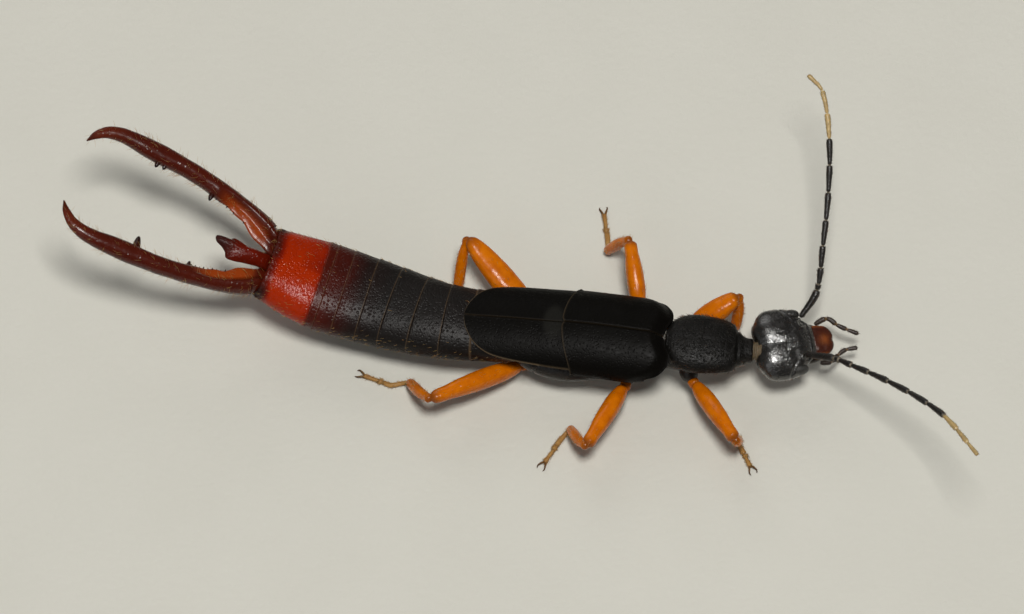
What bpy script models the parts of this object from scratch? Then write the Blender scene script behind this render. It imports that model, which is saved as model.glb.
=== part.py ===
"""A male earwig, life size, standing still on its six feet with its tail raised.

Every size below is in millimetres, and each mesh is made in millimetres and turned
into metres when it is finished. X runs from the tail to the head, Y to the animal's
left and Z up from the floor that the feet stand on.
"""
import math

import bmesh
import bpy
from mathutils import Matrix, Vector

COLLECTION = "earwig"
CUTTERS = "earwig_cutters"
MM = 0.001
MERGE = 0.0001

# Gap between pieces that touch, and the least thickness of legs, feelers and wings
GAP = 0.12
SLENDER = 0.46

# Spine of the trunk, from the last tergite to the neck: X, Y, Z
SPINE = (
    (-5.70, 2.28, 2.56),
    (-4.59, 1.94, 2.06),
    (-3.47, 1.59, 1.63),
    (-1.60, 1.04, 1.34),
    (0.40, 0.43, 1.38),
    (2.50, 0.15, 1.52),
    (4.50, -0.09, 1.61),
    (6.60, -0.38, 1.60),
    (9.10, -0.55, 1.48),
    (10.60, -0.62, 1.44),
)

# Abdomen: X along the spine, half width, rise and drop from the spine
ABDOMEN = (
    (-4.59, 1.04, 0.56, 0.52),
    (-3.90, 1.20, 0.64, 0.60),
    (-3.20, 1.29, 0.69, 0.66),
    (-2.40, 1.30, 0.71, 0.68),
    (-1.00, 1.23, 0.70, 0.66),
    (0.50, 1.10, 0.66, 0.62),
    (1.40, 1.05, 0.62, 0.62),
    (2.22, 1.02, 0.52, 0.66),
)
TERGITE_EDGES = (-4.59, -3.18, -2.94, -2.44, -1.76, -1.09, -0.31, 0.46, 1.25)
TERGITE_STEP = 0.03
ABDOMEN_SIDES = 22

# Shell of the fore wings and of the folded wings' tips behind them
SHELL_HALF_WIDTH = 1.29
SHELL_RISE = 0.70
SHELL_THICKNESS = 0.42
SUTURE_GAP = 0.14
ELYTRON_FRONT = 6.44
ELYTRON_REAR = 3.72
ELYTRON_MARGIN_DEG = -12.0
SHOULDER = 0.30
SHOULDER_ROUNDING = 0.36
ELYTRON_CURVE = 0.34
SCALE_SINK = 0.07
POCKET_RISE = 0.40
SCALE_OUTLINE = (
    (1.02, 0.16),
    (1.12, 0.46),
    (1.36, 0.80),
    (1.70, 1.02),
    (2.10, 1.12),
    (2.70, 1.18),
    (3.60, 1.21),
)

# Thorax below the wings, and the prothorax below the pronotum
THORAX_X = (2.72, 6.46)
THORAX_HALF_WIDTH = 1.00
THORAX_CENTRE = 1.12
THORAX_RISE = 0.46
THORAX_DROP = 0.32
PROTHORAX_X = (6.58, 8.42)
PROTHORAX_HALF_WIDTH = 0.58
PROTHORAX_CENTRE = 1.00
PROTHORAX_RISE = 0.40
PROTHORAX_DROP = 0.28

# Pronotum: X, half width, rise and drop from its middle, and the middle's lift
PRONOTUM = (
    (6.60, 0.10, 0.26, -0.02, 0.12),
    (6.64, 0.36, 0.32, 0.06, 0.12),
    (6.76, 0.60, 0.36, 0.12, 0.13),
    (7.00, 0.78, 0.39, 0.17, 0.14),
    (7.40, 0.85, 0.40, 0.18, 0.14),
    (7.85, 0.82, 0.39, 0.18, 0.14),
    (8.20, 0.75, 0.37, 0.18, 0.12),
    (8.46, 0.66, 0.34, 0.20, 0.08),
    (8.62, 0.50, 0.31, 0.24, 0.04),
    (8.74, 0.40, 0.29, 0.27, 0.00),
    (8.88, 0.35, 0.28, 0.29, 0.00),
    (8.96, 0.33, 0.27, 0.28, 0.00),
)

# Neck, between the collar and the back of the head
NECK_X = (9.04, 9.12)
NECK_RADIUS = 0.22

# Head: its own frame starts near the notch behind it, with X forward
HEAD_AT = (9.33, -0.42, 1.47)
HEAD_TURN_DEG = 11.0
HEAD_DIP_DEG = 7.0
HEAD_ROLL_DEG = 10.0
HEAD = (
    (-0.07, 0.44, 0.22, 0.24),
    (-0.04, 0.68, 0.30, 0.33),
    (0.05, 0.88, 0.35, 0.42),
    (0.20, 1.00, 0.39, 0.46),
    (0.46, 1.03, 0.41, 0.47),
    (0.72, 1.01, 0.40, 0.47),
    (0.94, 0.90, 0.36, 0.44),
    (1.12, 0.71, 0.30, 0.38),
    (1.26, 0.57, 0.23, 0.31),
    (1.36, 0.48, 0.17, 0.24),
)
LOBE_DEPTH = 0.18
LOBE_WIDTH = 0.50
LOBE_REACH = 0.60
EYE_AT = (0.88, 0.80, 0.08)
EYE_RADII = (0.25, 0.19, 0.22)
LABRUM_X = 1.48
LABRUM_LENGTH = 0.52
LABRUM_HALF_WIDTH = 0.44
LABRUM_RISE = 0.12
LABRUM_DROP = 0.10
LABRUM_SAG = (0.00, -0.08)
MANDIBLE_X = (1.38, 1.84)
MANDIBLE_HALF_WIDTH = 0.40
MANDIBLE_Z = -0.43
MANDIBLE_HALF_HEIGHT = 0.12

# Antennae: lengths of the segments from the socket out, and the line they follow
ANTENNA_SEGMENTS = (0.86, 0.16, 0.44, 0.58, 0.68, 0.74, 0.72, 0.70, 0.66, 0.62, 0.56)
ANTENNA_PALE_FROM = 8
TIP_SEGMENTS = 3
TIP_TAPER = 0.30
SEGMENT_SWELLS = ((0.04, 0.75), (0.35, 0.86), (0.72, 1.0), (0.96, 0.76))
ANTENNA_LEFT = (
    (10.43, 0.53, 1.60),
    (10.81, 1.08, 1.90),
    (10.98, 2.13, 2.50),
    (11.14, 3.55, 3.15),
    (11.17, 4.86, 3.80),
    (10.98, 6.12, 4.35),
    (10.58, 6.57, 4.50),
)
ANTENNA_RIGHT = (
    (10.58, -0.70, 1.56),
    (11.28, -1.00, 1.95),
    (11.68, -1.31, 2.22),
    (12.53, -1.98, 2.75),
    (13.44, -2.81, 3.35),
    (14.25, -3.75, 3.95),
    (15.09, -5.34, 4.85),
)
SCAPE_RADIUS = 0.24
PALP_RADIUS = 0.22
PALP_LEFT = (
    (10.90, 0.60, 1.06),
    (11.12, 0.64, 1.10),
    (11.42, 0.46, 1.05),
    (11.60, 0.38, 1.02),
    (12.01, 0.24, 0.94),
)
PALP_RIGHT = (
    (11.02, -0.66, 0.86),
    (11.24, -0.56, 0.84),
    (11.46, -0.32, 0.82),
    (11.62, -0.20, 0.82),
    (11.98, -0.12, 0.82),
)

# Forceps: distance behind the last tergite, distance from the middle, width
TAIL_AT = (-4.59, 1.94, 2.06)
TAIL_TURN_DEG = 18.2
TAIL_RISE_DEG = 22.0
FORCEPS_ARM = (
    (0.12, 0.66, 0.80),
    (0.45, 0.86, 0.78),
    (1.00, 1.12, 0.62),
    (1.90, 1.36, 0.53),
    (2.60, 1.49, 0.50),
    (3.20, 1.55, 0.51),
    (3.80, 1.58, 0.57),
    (4.30, 1.60, 0.54),
    (4.80, 1.62, 0.46),
    (5.20, 1.59, 0.40),
    (5.55, 1.47, 0.33),
    (5.82, 1.24, 0.22),
    (6.00, 0.98, 0.04),
)
FORCEPS_HEIGHT = ((0.12, 0.72), (1.00, 0.56), (3.80, 0.50), (5.20, 0.36), (6.00, 0.05))
FORCEPS_SIDES = 12
# Teeth on the inner edge: distance behind the tergite, length, root radius
TEETH_RIGHT = ((2.02, 0.14, 0.09), (3.60, 0.30, 0.12))
TEETH_LEFT = ((2.11, 0.22, 0.10), (3.66, 0.12, 0.09), (3.88, 0.16, 0.10))
DENTICLES = 7
DENTICLE_SPAN = (0.55, 1.85)
DENTICLE_SIZE = 0.07

# Pygidium: outline of its plate in the tail's frame, behind the last tergite
PYGIDIUM_OUTLINE = (
    (0.12, -0.15),
    (0.60, -0.32),
    (1.02, -0.40),
    (1.15, -0.40),
    (1.21, -0.26),
    (1.36, -0.15),
    (1.56, -0.02),
    (1.59, 0.08),
    (1.46, 0.15),
    (1.20, 0.15),
    (1.09, 0.24),
    (0.80, 0.20),
    (0.12, 0.15),
)
PYGIDIUM_HALF_THICKNESS = 0.18

# Legs: hip, knee, ankle and toes of each, with the coxa's root in the body
LEGS = {
    "front_right": {
        "root": (7.12, -0.80, 0.98),
        "hip": (7.34, -1.16, 0.84),
        "knee": (8.52, -3.26, 1.40),
        "ankle": (8.60, -2.72, 0.26),
        "toes": ((8.72, -2.98, 0.17), (8.96, -3.50, 0.17)),
        "femur": (0.50, 0.56),
    },
    "front_left": {
        "root": (7.12, -0.02, 0.98),
        "hip": (7.20, 0.34, 0.84),
        "knee": (8.64, 1.10, 1.62),
        "ankle": (8.56, 0.72, 0.26),
        "toes": ((8.52, 0.36, 0.17), (8.34, -0.20, 0.17)),
        "femur": (0.68, 0.56),
    },
    "mid_right": {
        "root": (5.55, -0.72, 0.94),
        "hip": (5.50, -1.22, 0.80),
        "knee": (4.37, -3.36, 1.24),
        "ankle": (3.92, -2.36, 0.26),
        "toes": ((3.66, -2.66, 0.17), (3.20, -3.38, 0.17)),
        "femur": (0.50, 0.56),
    },
    "mid_left": {
        "root": (5.72, 0.34, 0.94),
        "hip": (5.90, 0.86, 0.80),
        "knee": (5.60, 2.88, 1.52),
        "ankle": (4.96, 3.16, 0.26),
        "toes": ((5.00, 3.54, 0.17), (4.90, 4.38, 0.17)),
        "femur": (0.50, 0.60),
    },
    "hind_right": {
        "root": (3.06, -0.22, 0.98),
        "hip": (2.68, -0.50, 0.52),
        "knee": (0.02, -1.98, 1.38),
        "ankle": (-0.59, -0.92, 0.26),
        "toes": ((-1.10, -0.98, 0.17), (-1.86, -0.68, 0.17)),
        "femur": (0.53, 0.62),
    },
    "hind_left": {
        "root": (3.44, 0.28, 0.98),
        "hip": (3.12, 0.60, 0.56),
        "knee": (1.06, 2.94, 1.56),
        "ankle": (0.76, 1.86, 0.26),
        "toes": ((0.36, 1.72, 0.17), (-0.40, 1.62, 0.17)),
        "femur": (0.78, 0.56),
    },
}
COXA_RADIUS = 0.25
JOINT_RADIUS = 0.13
JOINT_SETBACK = 0.14
HIP_REACH = 0.12
TARSUS_RADIUS = 0.21
LIMB_SIDES = 10
CLAW_LENGTH = 0.26
CLAW_RADII = (0.10, 0.075, 0.02)
CLAW_SPREAD_DEG = 28.0

# Colours: base colour, roughness
COLOURS = {
    "cuticle_black": ((0.012, 0.011, 0.011), 0.32),
    "wing_black": ((0.014, 0.013, 0.014), 0.48),
    "dark_red": ((0.075, 0.008, 0.006), 0.26),
    "orange_red": ((0.350, 0.035, 0.008), 0.22),
    "forceps_red": ((0.110, 0.010, 0.006), 0.24),
    "leg_orange": ((0.560, 0.190, 0.018), 0.28),
    "leg_pale": ((0.660, 0.330, 0.075), 0.34),
    "labrum_red": ((0.160, 0.030, 0.008), 0.28),
    "antenna_black": ((0.016, 0.014, 0.013), 0.36),
    "antenna_pale": ((0.640, 0.440, 0.130), 0.42),
    "palp_brown": ((0.120, 0.048, 0.018), 0.36),
    "membrane": ((0.310, 0.210, 0.120), 0.50),
    "eye_black": ((0.010, 0.009, 0.009), 0.14),
}


def clear_scene():
    for obj in list(bpy.data.objects):
        bpy.data.objects.remove(obj, do_unlink=True)


def make_collection(name):
    collection = bpy.data.collections.new(name)
    bpy.context.scene.collection.children.link(collection)
    return collection


def material(name):
    found = bpy.data.materials.get(name)
    if found:
        return found
    colour, roughness = COLOURS[name]
    made = bpy.data.materials.new(name)
    made.use_nodes = True
    shader = made.node_tree.nodes["Principled BSDF"]
    shader.inputs["Base Color"].default_value = (*colour, 1.0)
    shader.inputs["Roughness"].default_value = roughness
    shader.inputs["Metallic"].default_value = 0.0
    return made


def blend(rows, x):
    """Read a table of rows at x, in its first column, along a smooth curve."""
    if x <= rows[0][0]:
        return rows[0][1:]
    if x >= rows[-1][0]:
        return rows[-1][1:]
    i = max(k for k in range(len(rows) - 1) if rows[k][0] <= x)
    before = rows[max(i - 1, 0)]
    start = rows[i]
    end = rows[i + 1]
    after = rows[min(i + 2, len(rows) - 1)]
    span = end[0] - start[0]
    t = (x - start[0]) / span
    values = []
    for k in range(1, len(start)):
        slope_a = (end[k] - before[k]) / (end[0] - before[0]) * span
        slope_b = (after[k] - start[k]) / (after[0] - start[0]) * span
        a = (2 * t**3 - 3 * t**2 + 1) * start[k]
        b = (t**3 - 2 * t**2 + t) * slope_a
        c = (-2 * t**3 + 3 * t**2) * end[k]
        d = (t**3 - t**2) * slope_b
        values.append(a + b + c + d)
    return tuple(values)


def steps(start, end, count):
    return [start + (end - start) * k / (count - 1) for k in range(count)]


def spine_frame(x):
    """The spine's point at x, with its forward, left and up directions."""
    y, z = blend(SPINE, x)
    y0, z0 = blend(SPINE, x - 0.05)
    y1, z1 = blend(SPINE, x + 0.05)
    forward = Vector((0.1, y1 - y0, z1 - z0)).normalized()
    left = Vector((0, 0, 1)).cross(forward).normalized()
    up = forward.cross(left)
    return Vector((x, y, z)), forward, left, up


def oval(half_width, rise, drop, sides, square=2.0):
    """Points (side, height) round an oval whose corners fill out as square grows."""
    points = []
    for k in range(sides):
        angle = 2 * math.pi * (k + 0.5) / sides
        c = math.cos(angle)
        s = math.sin(angle)
        side = half_width * math.copysign(abs(c) ** (2 / square), c)
        height = (rise if s > 0 else drop) * math.copysign(abs(s) ** (2 / square), s)
        points.append((side, height))
    return points


def spine_ring(x, section):
    at, _, left, up = spine_frame(x)
    return [at + left * side + up * height for side, height in section]


def loft(rings):
    """Close a skin over rings of equal count, with a fan at each end."""
    bm = bmesh.new()
    rows = [[bm.verts.new(p) for p in ring] for ring in rings]
    count = len(rows[0])
    for a, b in zip(rows, rows[1:]):
        for k in range(count):
            n = (k + 1) % count
            bm.faces.new((a[k], a[n], b[n], b[k]))
    for row in (rows[0], rows[-1]):
        middle = bm.verts.new(sum((v.co for v in row), Vector()) / count)
        for k in range(count):
            bm.faces.new((row[k], row[(k + 1) % count], middle))
    bmesh.ops.triangulate(bm, faces=bm.faces)
    bmesh.ops.recalc_face_normals(bm, faces=bm.faces)
    return bm


def add_object(name, bm, material_name, collection=None):
    mesh = bpy.data.meshes.new(name)
    bm.to_mesh(mesh)
    bm.free()
    obj = bpy.data.objects.new(name, mesh)
    mesh.materials.append(material(material_name))
    (collection or PARTS).objects.link(obj)
    return obj


def add_cutter(name, bm):
    cutter = add_object(name, bm, "membrane", GUIDES)
    cutter.hide_render = True
    cutter.display_type = "WIRE"
    return cutter


def frame_between(forward, up_hint=Vector((0, 0, 1))):
    forward = forward.normalized()
    side = up_hint.cross(forward)
    if side.length < 0.05:
        side = Vector((0, 1, 0)).cross(forward)
    side.normalize()
    return forward, side, forward.cross(side)


def tube(name, points, radii, material_name, collection=None, resolution=2):
    """A bevelled curve through the points, as a closed mesh of its own."""
    curve = bpy.data.curves.new(name, "CURVE")
    curve.dimensions = "3D"
    curve.bevel_depth = 1.0
    curve.bevel_resolution = resolution
    curve.use_fill_caps = True
    spline = curve.splines.new("POLY")
    spline.points.add(len(points) - 1)
    for point, at, radius in zip(spline.points, points, radii):
        point.co = (*at, 1.0)
        point.radius = radius
    source = bpy.data.objects.new(name + "_curve", curve)
    GUIDES.objects.link(source)
    bpy.context.view_layer.update()
    evaluated = source.evaluated_get(bpy.context.evaluated_depsgraph_get())
    mesh = bpy.data.meshes.new_from_object(evaluated)
    bpy.data.objects.remove(source, do_unlink=True)
    bm = bmesh.new()
    bm.from_mesh(mesh)
    bpy.data.meshes.remove(mesh)
    bmesh.ops.remove_doubles(bm, verts=bm.verts, dist=MERGE)
    bmesh.ops.triangulate(bm, faces=bm.faces)
    bmesh.ops.recalc_face_normals(bm, faces=bm.faces)
    return add_object(name, bm, material_name, collection)


def path_points(controls, distances):
    """Points at the given distances along a smooth line through the controls."""
    controls = [Vector(c) for c in controls]
    lengths = [0.0]
    for a, b in zip(controls, controls[1:]):
        lengths.append(lengths[-1] + (b - a).length)
    rows = [(s, *c) for s, c in zip(lengths, controls)]
    scale = lengths[-1] / distances[-1]
    return [Vector(blend(rows, d * scale)) for d in distances]


def boolean(target, others, operation, solver="EXACT"):
    """Join or cut the target by the closed meshes in others, which are then removed."""
    group = bpy.data.collections.new(target.name + "_" + operation.lower())
    for other in others:
        group.objects.link(other)
    modifier = target.modifiers.new(operation.title(), "BOOLEAN")
    modifier.operation = operation
    modifier.operand_type = "COLLECTION"
    modifier.collection = group
    modifier.solver = solver
    bpy.context.view_layer.update()
    evaluated = target.evaluated_get(bpy.context.evaluated_depsgraph_get())
    mesh = bpy.data.meshes.new_from_object(evaluated)
    target.modifiers.remove(modifier)
    old = target.data
    target.data = mesh
    bpy.data.meshes.remove(old)
    for other in others:
        bpy.data.objects.remove(other, do_unlink=True)
    bpy.data.collections.remove(group)
    keep_largest(target)


def keep_largest(obj):
    """Keep only the largest closed surface of a mesh, as triangles."""
    bm = bmesh.new()
    bm.from_mesh(obj.data)
    bmesh.ops.remove_doubles(bm, verts=bm.verts, dist=MERGE)
    bmesh.ops.dissolve_degenerate(bm, edges=bm.edges, dist=MERGE)
    bmesh.ops.triangulate(bm, faces=bm.faces)
    seen = set()
    best = []
    for face in bm.faces:
        if face in seen:
            continue
        seen.add(face)
        island = []
        queue = [face]
        while queue:
            current = queue.pop()
            island.append(current)
            for edge in current.edges:
                for near in edge.link_faces:
                    if near not in seen:
                        seen.add(near)
                        queue.append(near)
        if len(island) > len(best):
            best = island
    kept = set(best)
    scrap = [face for face in bm.faces if face not in kept]
    bmesh.ops.delete(bm, geom=scrap, context="FACES")
    bmesh.ops.recalc_face_normals(bm, faces=bm.faces)
    bm.to_mesh(obj.data)
    bm.free()


def abdomen_section(x, step):
    half_width, rise, drop = blend(ABDOMEN, x)
    return oval(half_width + step, rise + step, drop + step, ABDOMEN_SIDES, 2.3)


def tergite_rings(edges):
    """Rings of a run of body rings, each raised towards its rear edge."""
    rings = []
    for rear, front in zip(edges, edges[1:]):
        length = front - rear
        middle = rear + 0.45 * length
        rings.append(spine_ring(rear, abdomen_section(rear, TERGITE_STEP * 0.7)))
        rings.append(spine_ring(rear + 0.1 * length, abdomen_section(rear, TERGITE_STEP)))
        rings.append(spine_ring(middle, abdomen_section(middle, 0.01)))
        rings.append(spine_ring(front - 0.03, abdomen_section(front, -TERGITE_STEP * 0.6)))
    return rings


def build_abdomen():
    edges = TERGITE_EDGES
    half = GAP / 2
    last = (edges[0], edges[1] - half)
    rear = (edges[1] + half, edges[2], edges[3] - half)
    front = (edges[3] + half, *edges[4:])
    add_object("last_tergite", loft(tergite_rings(last)), "orange_red")
    add_object("abdomen_rear", loft(tergite_rings(rear)), "dark_red")
    rings = tergite_rings(front)
    for x in steps(edges[-1] + 0.1, ABDOMEN[-1][0], 6):
        rings.append(spine_ring(x, abdomen_section(x, 0.0)))
    body = add_object("abdomen_front", loft(rings), "cuticle_black")
    pocket = add_cutter("pocket", loft(scale_rings(GAP, both=True)))
    boolean(body, [pocket], "DIFFERENCE")


def shell_ring(x, half_width, rise, thickness, start_deg, end_deg, count, shift):
    """A curved strip between two angles: its outer side and, back again, its inner."""
    at, _, left, up = spine_frame(x)
    points = []
    for inset in (0.0, thickness):
        angles = steps(start_deg, end_deg, count)
        if inset:
            angles = angles[::-1]
        for angle in angles:
            c = math.cos(math.radians(angle))
            s = math.sin(math.radians(angle))
            side = (half_width - inset) * c
            height = (rise - inset) * s
            point = at + left * side + up * height
            point.x += shift * (side / half_width) ** 2
            points.append(point)
    return points


def side_angle(side, half_width):
    return math.degrees(math.acos(max(-1.0, min(1.0, side / half_width))))


def elytron_rings(left_side):
    rings = []
    for t in steps(0.0, 1.0, 11):
        x = ELYTRON_REAR + (ELYTRON_FRONT - ELYTRON_REAR) * (1.0 - (1.0 - t) ** 1.6)
        round_off = 1.0 - SHOULDER_ROUNDING * max(0.0, (t - 0.7) / 0.3) ** 3
        width = SHELL_HALF_WIDTH * round_off
        start = side_angle(SUTURE_GAP / 2, width)
        end = ELYTRON_MARGIN_DEG
        if not left_side:
            start = 180.0 - start
            end = 180.0 - end
        shift = ELYTRON_CURVE + (SHOULDER - ELYTRON_CURVE) * t
        rings.append(
            shell_ring(x, width, SHELL_RISE, SHELL_THICKNESS, start, end, 9, shift)
        )
    return rings


def scale_rings(grow, both=False, left_side=True):
    """Rings of a folded wing's tip, or of the pocket that both of them lie in."""
    rings = []
    half_width = SHELL_HALF_WIDTH - 0.04
    rise = SHELL_RISE - SCALE_SINK
    margin = math.degrees(2.4 * grow / half_width)
    above = POCKET_RISE if grow else 0.0
    front = ELYTRON_REAR - GAP + (2 * GAP if grow else 0.0)
    for t in steps(0.0, 1.0, 12):
        x = SCALE_OUTLINE[0][0] + (front - SCALE_OUTLINE[0][0]) * t**1.5
        reach = blend(SCALE_OUTLINE, x)[0]
        end = side_angle(reach, half_width) - margin
        start = side_angle(SUTURE_GAP / 2, half_width)
        if both:
            start = 180.0 - end
        elif not left_side:
            start = 180.0 - start
            end = 180.0 - end
        shift = (ELYTRON_CURVE if t > 0.5 else 0.0) * max(0.0, (t - 0.5) / 0.5)
        ring = shell_ring(
            x - grow,
            half_width + above,
            rise + above,
            SHELL_THICKNESS + grow + above,
            start,
            end,
            9,
            shift,
        )
        rings.append(ring)
    return rings


def build_wings():
    for side in ("left", "right"):
        is_left = side == "left"
        add_object("elytron_" + side, loft(elytron_rings(is_left)), "wing_black")
        scale = loft(scale_rings(0.0, left_side=is_left))
        add_object("wing_scale_" + side, scale, "wing_black")


def level_ring(x, centre, half_width, rise, drop, sides):
    at, _, left, _ = spine_frame(x)
    at.z = centre
    up = Vector((0, 0, 1))
    section = oval(half_width, rise, drop, sides, 2.2)
    return [at + left * side + up * height for side, height in section]


def build_thorax():
    rings = []
    for t in steps(0.0, 1.0, 6):
        x = THORAX_X[0] + (THORAX_X[1] - THORAX_X[0]) * t
        narrow = 1.0 - 0.22 * max(0.0, (t - 0.6) / 0.4) ** 2 - 0.34 * max(0.0, 1.0 - t / 0.3)
        half_width = THORAX_HALF_WIDTH * narrow
        rings.append(level_ring(x, THORAX_CENTRE, half_width, THORAX_RISE, THORAX_DROP, 18))
    thorax = add_object("thorax", loft(rings), "cuticle_black")
    rings = []
    for t in steps(0.0, 1.0, 6):
        x = PROTHORAX_X[0] + (PROTHORAX_X[1] - PROTHORAX_X[0]) * t
        narrow = 1.0 - 0.3 * (2 * t - 1) ** 2
        half_width = PROTHORAX_HALF_WIDTH * narrow
        rise = PROTHORAX_RISE * narrow
        rings.append(level_ring(x, PROTHORAX_CENTRE, half_width, rise, PROTHORAX_DROP, 14))
    prothorax = add_object("prothorax", loft(rings), "cuticle_black")
    for body, places in ((prothorax, ("front",)), (thorax, ("mid", "hind"))):
        sockets = []
        for place in places:
            for side in ("left", "right"):
                sockets.append(coxa(place + "_" + side, GAP))
        boolean(body, sockets, "DIFFERENCE")


def build_pronotum():
    rings = []
    for t in steps(0.0, 1.0, 18):
        x = PRONOTUM[0][0] + (PRONOTUM[-1][0] - PRONOTUM[0][0]) * t**1.4
        half_width, rise, drop, lift = blend(PRONOTUM, x)
        section = oval(half_width, rise, drop, 20, 2.4)
        rings.append(spine_ring(x, [(side, height + lift) for side, height in section]))
    add_object("pronotum", loft(rings), "cuticle_black")


def build_neck():
    points = [spine_frame(x)[0] for x in steps(NECK_X[0], NECK_X[1], 4)]
    radii = [NECK_RADIUS * k for k in (0.9, 1.0, 1.0, 0.9)]
    tube("neck", points, radii, "membrane", resolution=3)


def head_matrix():
    turn = Matrix.Rotation(math.radians(HEAD_TURN_DEG), 4, "Z")
    dip = Matrix.Rotation(math.radians(HEAD_DIP_DEG), 4, "Y")
    roll = Matrix.Rotation(math.radians(HEAD_ROLL_DEG), 4, "X")
    return Matrix.Translation(HEAD_AT) @ turn @ dip @ roll


def head_point(x, side, height):
    """A point of the head, with the two lobes behind it drawn back."""
    fade = max(0.0, 1.0 - x / LOBE_REACH)
    lobe = 1.0 - math.exp(-((side / LOBE_WIDTH) ** 2))
    return head_matrix() @ Vector((x - LOBE_DEPTH * lobe * fade, side, height))


def build_head():
    rings = []
    for t in steps(0.0, 1.0, 17):
        x = HEAD[0][0] + (HEAD[-1][0] - HEAD[0][0]) * t
        half_width, rise, drop = blend(HEAD, x)
        section = oval(half_width, rise, drop, 24, 2.2)
        rings.append([head_point(x, side, height) for side, height in section])
    head = add_object("head", loft(rings), "cuticle_black")
    boolean(head, [eye("left", GAP), eye("right", GAP)], "DIFFERENCE")
    eye("left", 0.0)
    eye("right", 0.0)


def eye(side, grow):
    mirror = 1 if side == "left" else -1
    bm = bmesh.new()
    bmesh.ops.create_uvsphere(bm, u_segments=14, v_segments=9, radius=1.0)
    scale = Matrix.Diagonal([radius + grow for radius in EYE_RADII]).to_4x4()
    place = Matrix.Translation((EYE_AT[0], EYE_AT[1] * mirror, EYE_AT[2]))
    bmesh.ops.transform(bm, matrix=head_matrix() @ place @ scale, verts=bm.verts)
    if grow:
        return add_cutter("eye_socket_" + side, bm)
    return add_object("eye_" + side, bm, "eye_black")


def build_mouth():
    rings = []
    matrix = head_matrix()
    for t in steps(0.0, 1.0, 7):
        across = math.sqrt(max(0.0, 1.0 - (t * 0.98) ** 2.6))
        rise = LABRUM_RISE * (0.35 + 0.65 * across)
        drop = LABRUM_DROP * (0.35 + 0.65 * across)
        section = oval(max(LABRUM_HALF_WIDTH * across, 0.10), rise, drop, 16, 2.6)
        x = LABRUM_X + LABRUM_LENGTH * t
        sag = LABRUM_SAG[0] + (LABRUM_SAG[1] - LABRUM_SAG[0]) * t
        rings.append([matrix @ Vector((x, side, height + sag)) for side, height in section])
    add_object("labrum", loft(rings), "labrum_red")
    rings = []
    for t in steps(0.0, 1.0, 5):
        across = 1.0 - 0.45 * t**2
        section = oval(
            MANDIBLE_HALF_WIDTH * across, MANDIBLE_HALF_HEIGHT, MANDIBLE_HALF_HEIGHT, 14, 2.4
        )
        x = MANDIBLE_X[0] + (MANDIBLE_X[1] - MANDIBLE_X[0]) * t
        rings.append([matrix @ Vector((x, side, height + MANDIBLE_Z)) for side, height in section])
    add_object("mandibles", loft(rings), "palp_brown")


def antenna_beads(segments, first, last, start_gap, end_gap):
    """Distances and radii of club-shaped segments, thickest near their far ends."""
    starts = [sum(segments[:k]) for k in range(len(segments) + 1)]
    places = []
    for k in range(first, last):
        thick = SCAPE_RADIUS if k == 0 else SLENDER / 2
        taper = 1.0 - TIP_TAPER * max(0, k - ANTENNA_PALE_FROM + 1) / TIP_SEGMENTS
        for place, swell in SEGMENT_SWELLS:
            places.append((starts[k] + place * segments[k], thick * swell * taper))
    places[0] = (places[0][0] + start_gap, places[0][1])
    places[-1] = (places[-1][0] - end_gap, places[-1][1])
    return places


def build_antenna(side, controls):
    segments = ANTENNA_SEGMENTS
    count = len(segments)
    runs = (
        ("scape", 0, 1, "antenna_black"),
        ("flagellum", 1, ANTENNA_PALE_FROM, "antenna_black"),
        ("tip", ANTENNA_PALE_FROM, count, "antenna_pale"),
    )
    for name, first, last, material_name in runs:
        places = antenna_beads(segments, first, last, GAP / 2 - 0.02, GAP / 2 - 0.02)
        total = sum(segments)
        line = path_points(controls, [d for d, _ in places] + [total])[:-1]
        radii = [r for _, r in places]
        tube("antenna_%s_%s" % (name, side), line, radii, material_name)


def build_palp(side, controls):
    lengths = [0.0]
    for a, b in zip(controls, controls[1:]):
        lengths.append(lengths[-1] + (Vector(b) - Vector(a)).length)
    total = lengths[-1]
    distances = []
    radii = []
    for start, end in zip(lengths[::2], lengths[2::2]):
        for part, swell in ((0.03, 0.75), (0.5, 1.0), (0.97, 0.75)):
            distances.append(start + (end - start) * part)
            radii.append(PALP_RADIUS * swell * (1.0 - 0.35 * distances[-1] / total))
    line = path_points(controls, distances + [total])[:-1]
    tube("palp_" + side, line, radii, "palp_brown")


def tail_matrix():
    turn = math.radians(TAIL_TURN_DEG)
    rise = math.radians(TAIL_RISE_DEG)
    flat = math.cos(rise)
    back = Vector((-math.cos(turn) * flat, math.sin(turn) * flat, math.sin(rise)))
    left = Vector((math.sin(turn), math.cos(turn), 0))
    up = left.cross(back)
    if up.z < 0:
        up.negate()
    matrix = Matrix((back, left, up)).transposed().to_4x4()
    matrix.translation = Vector(TAIL_AT)
    return matrix


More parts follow.
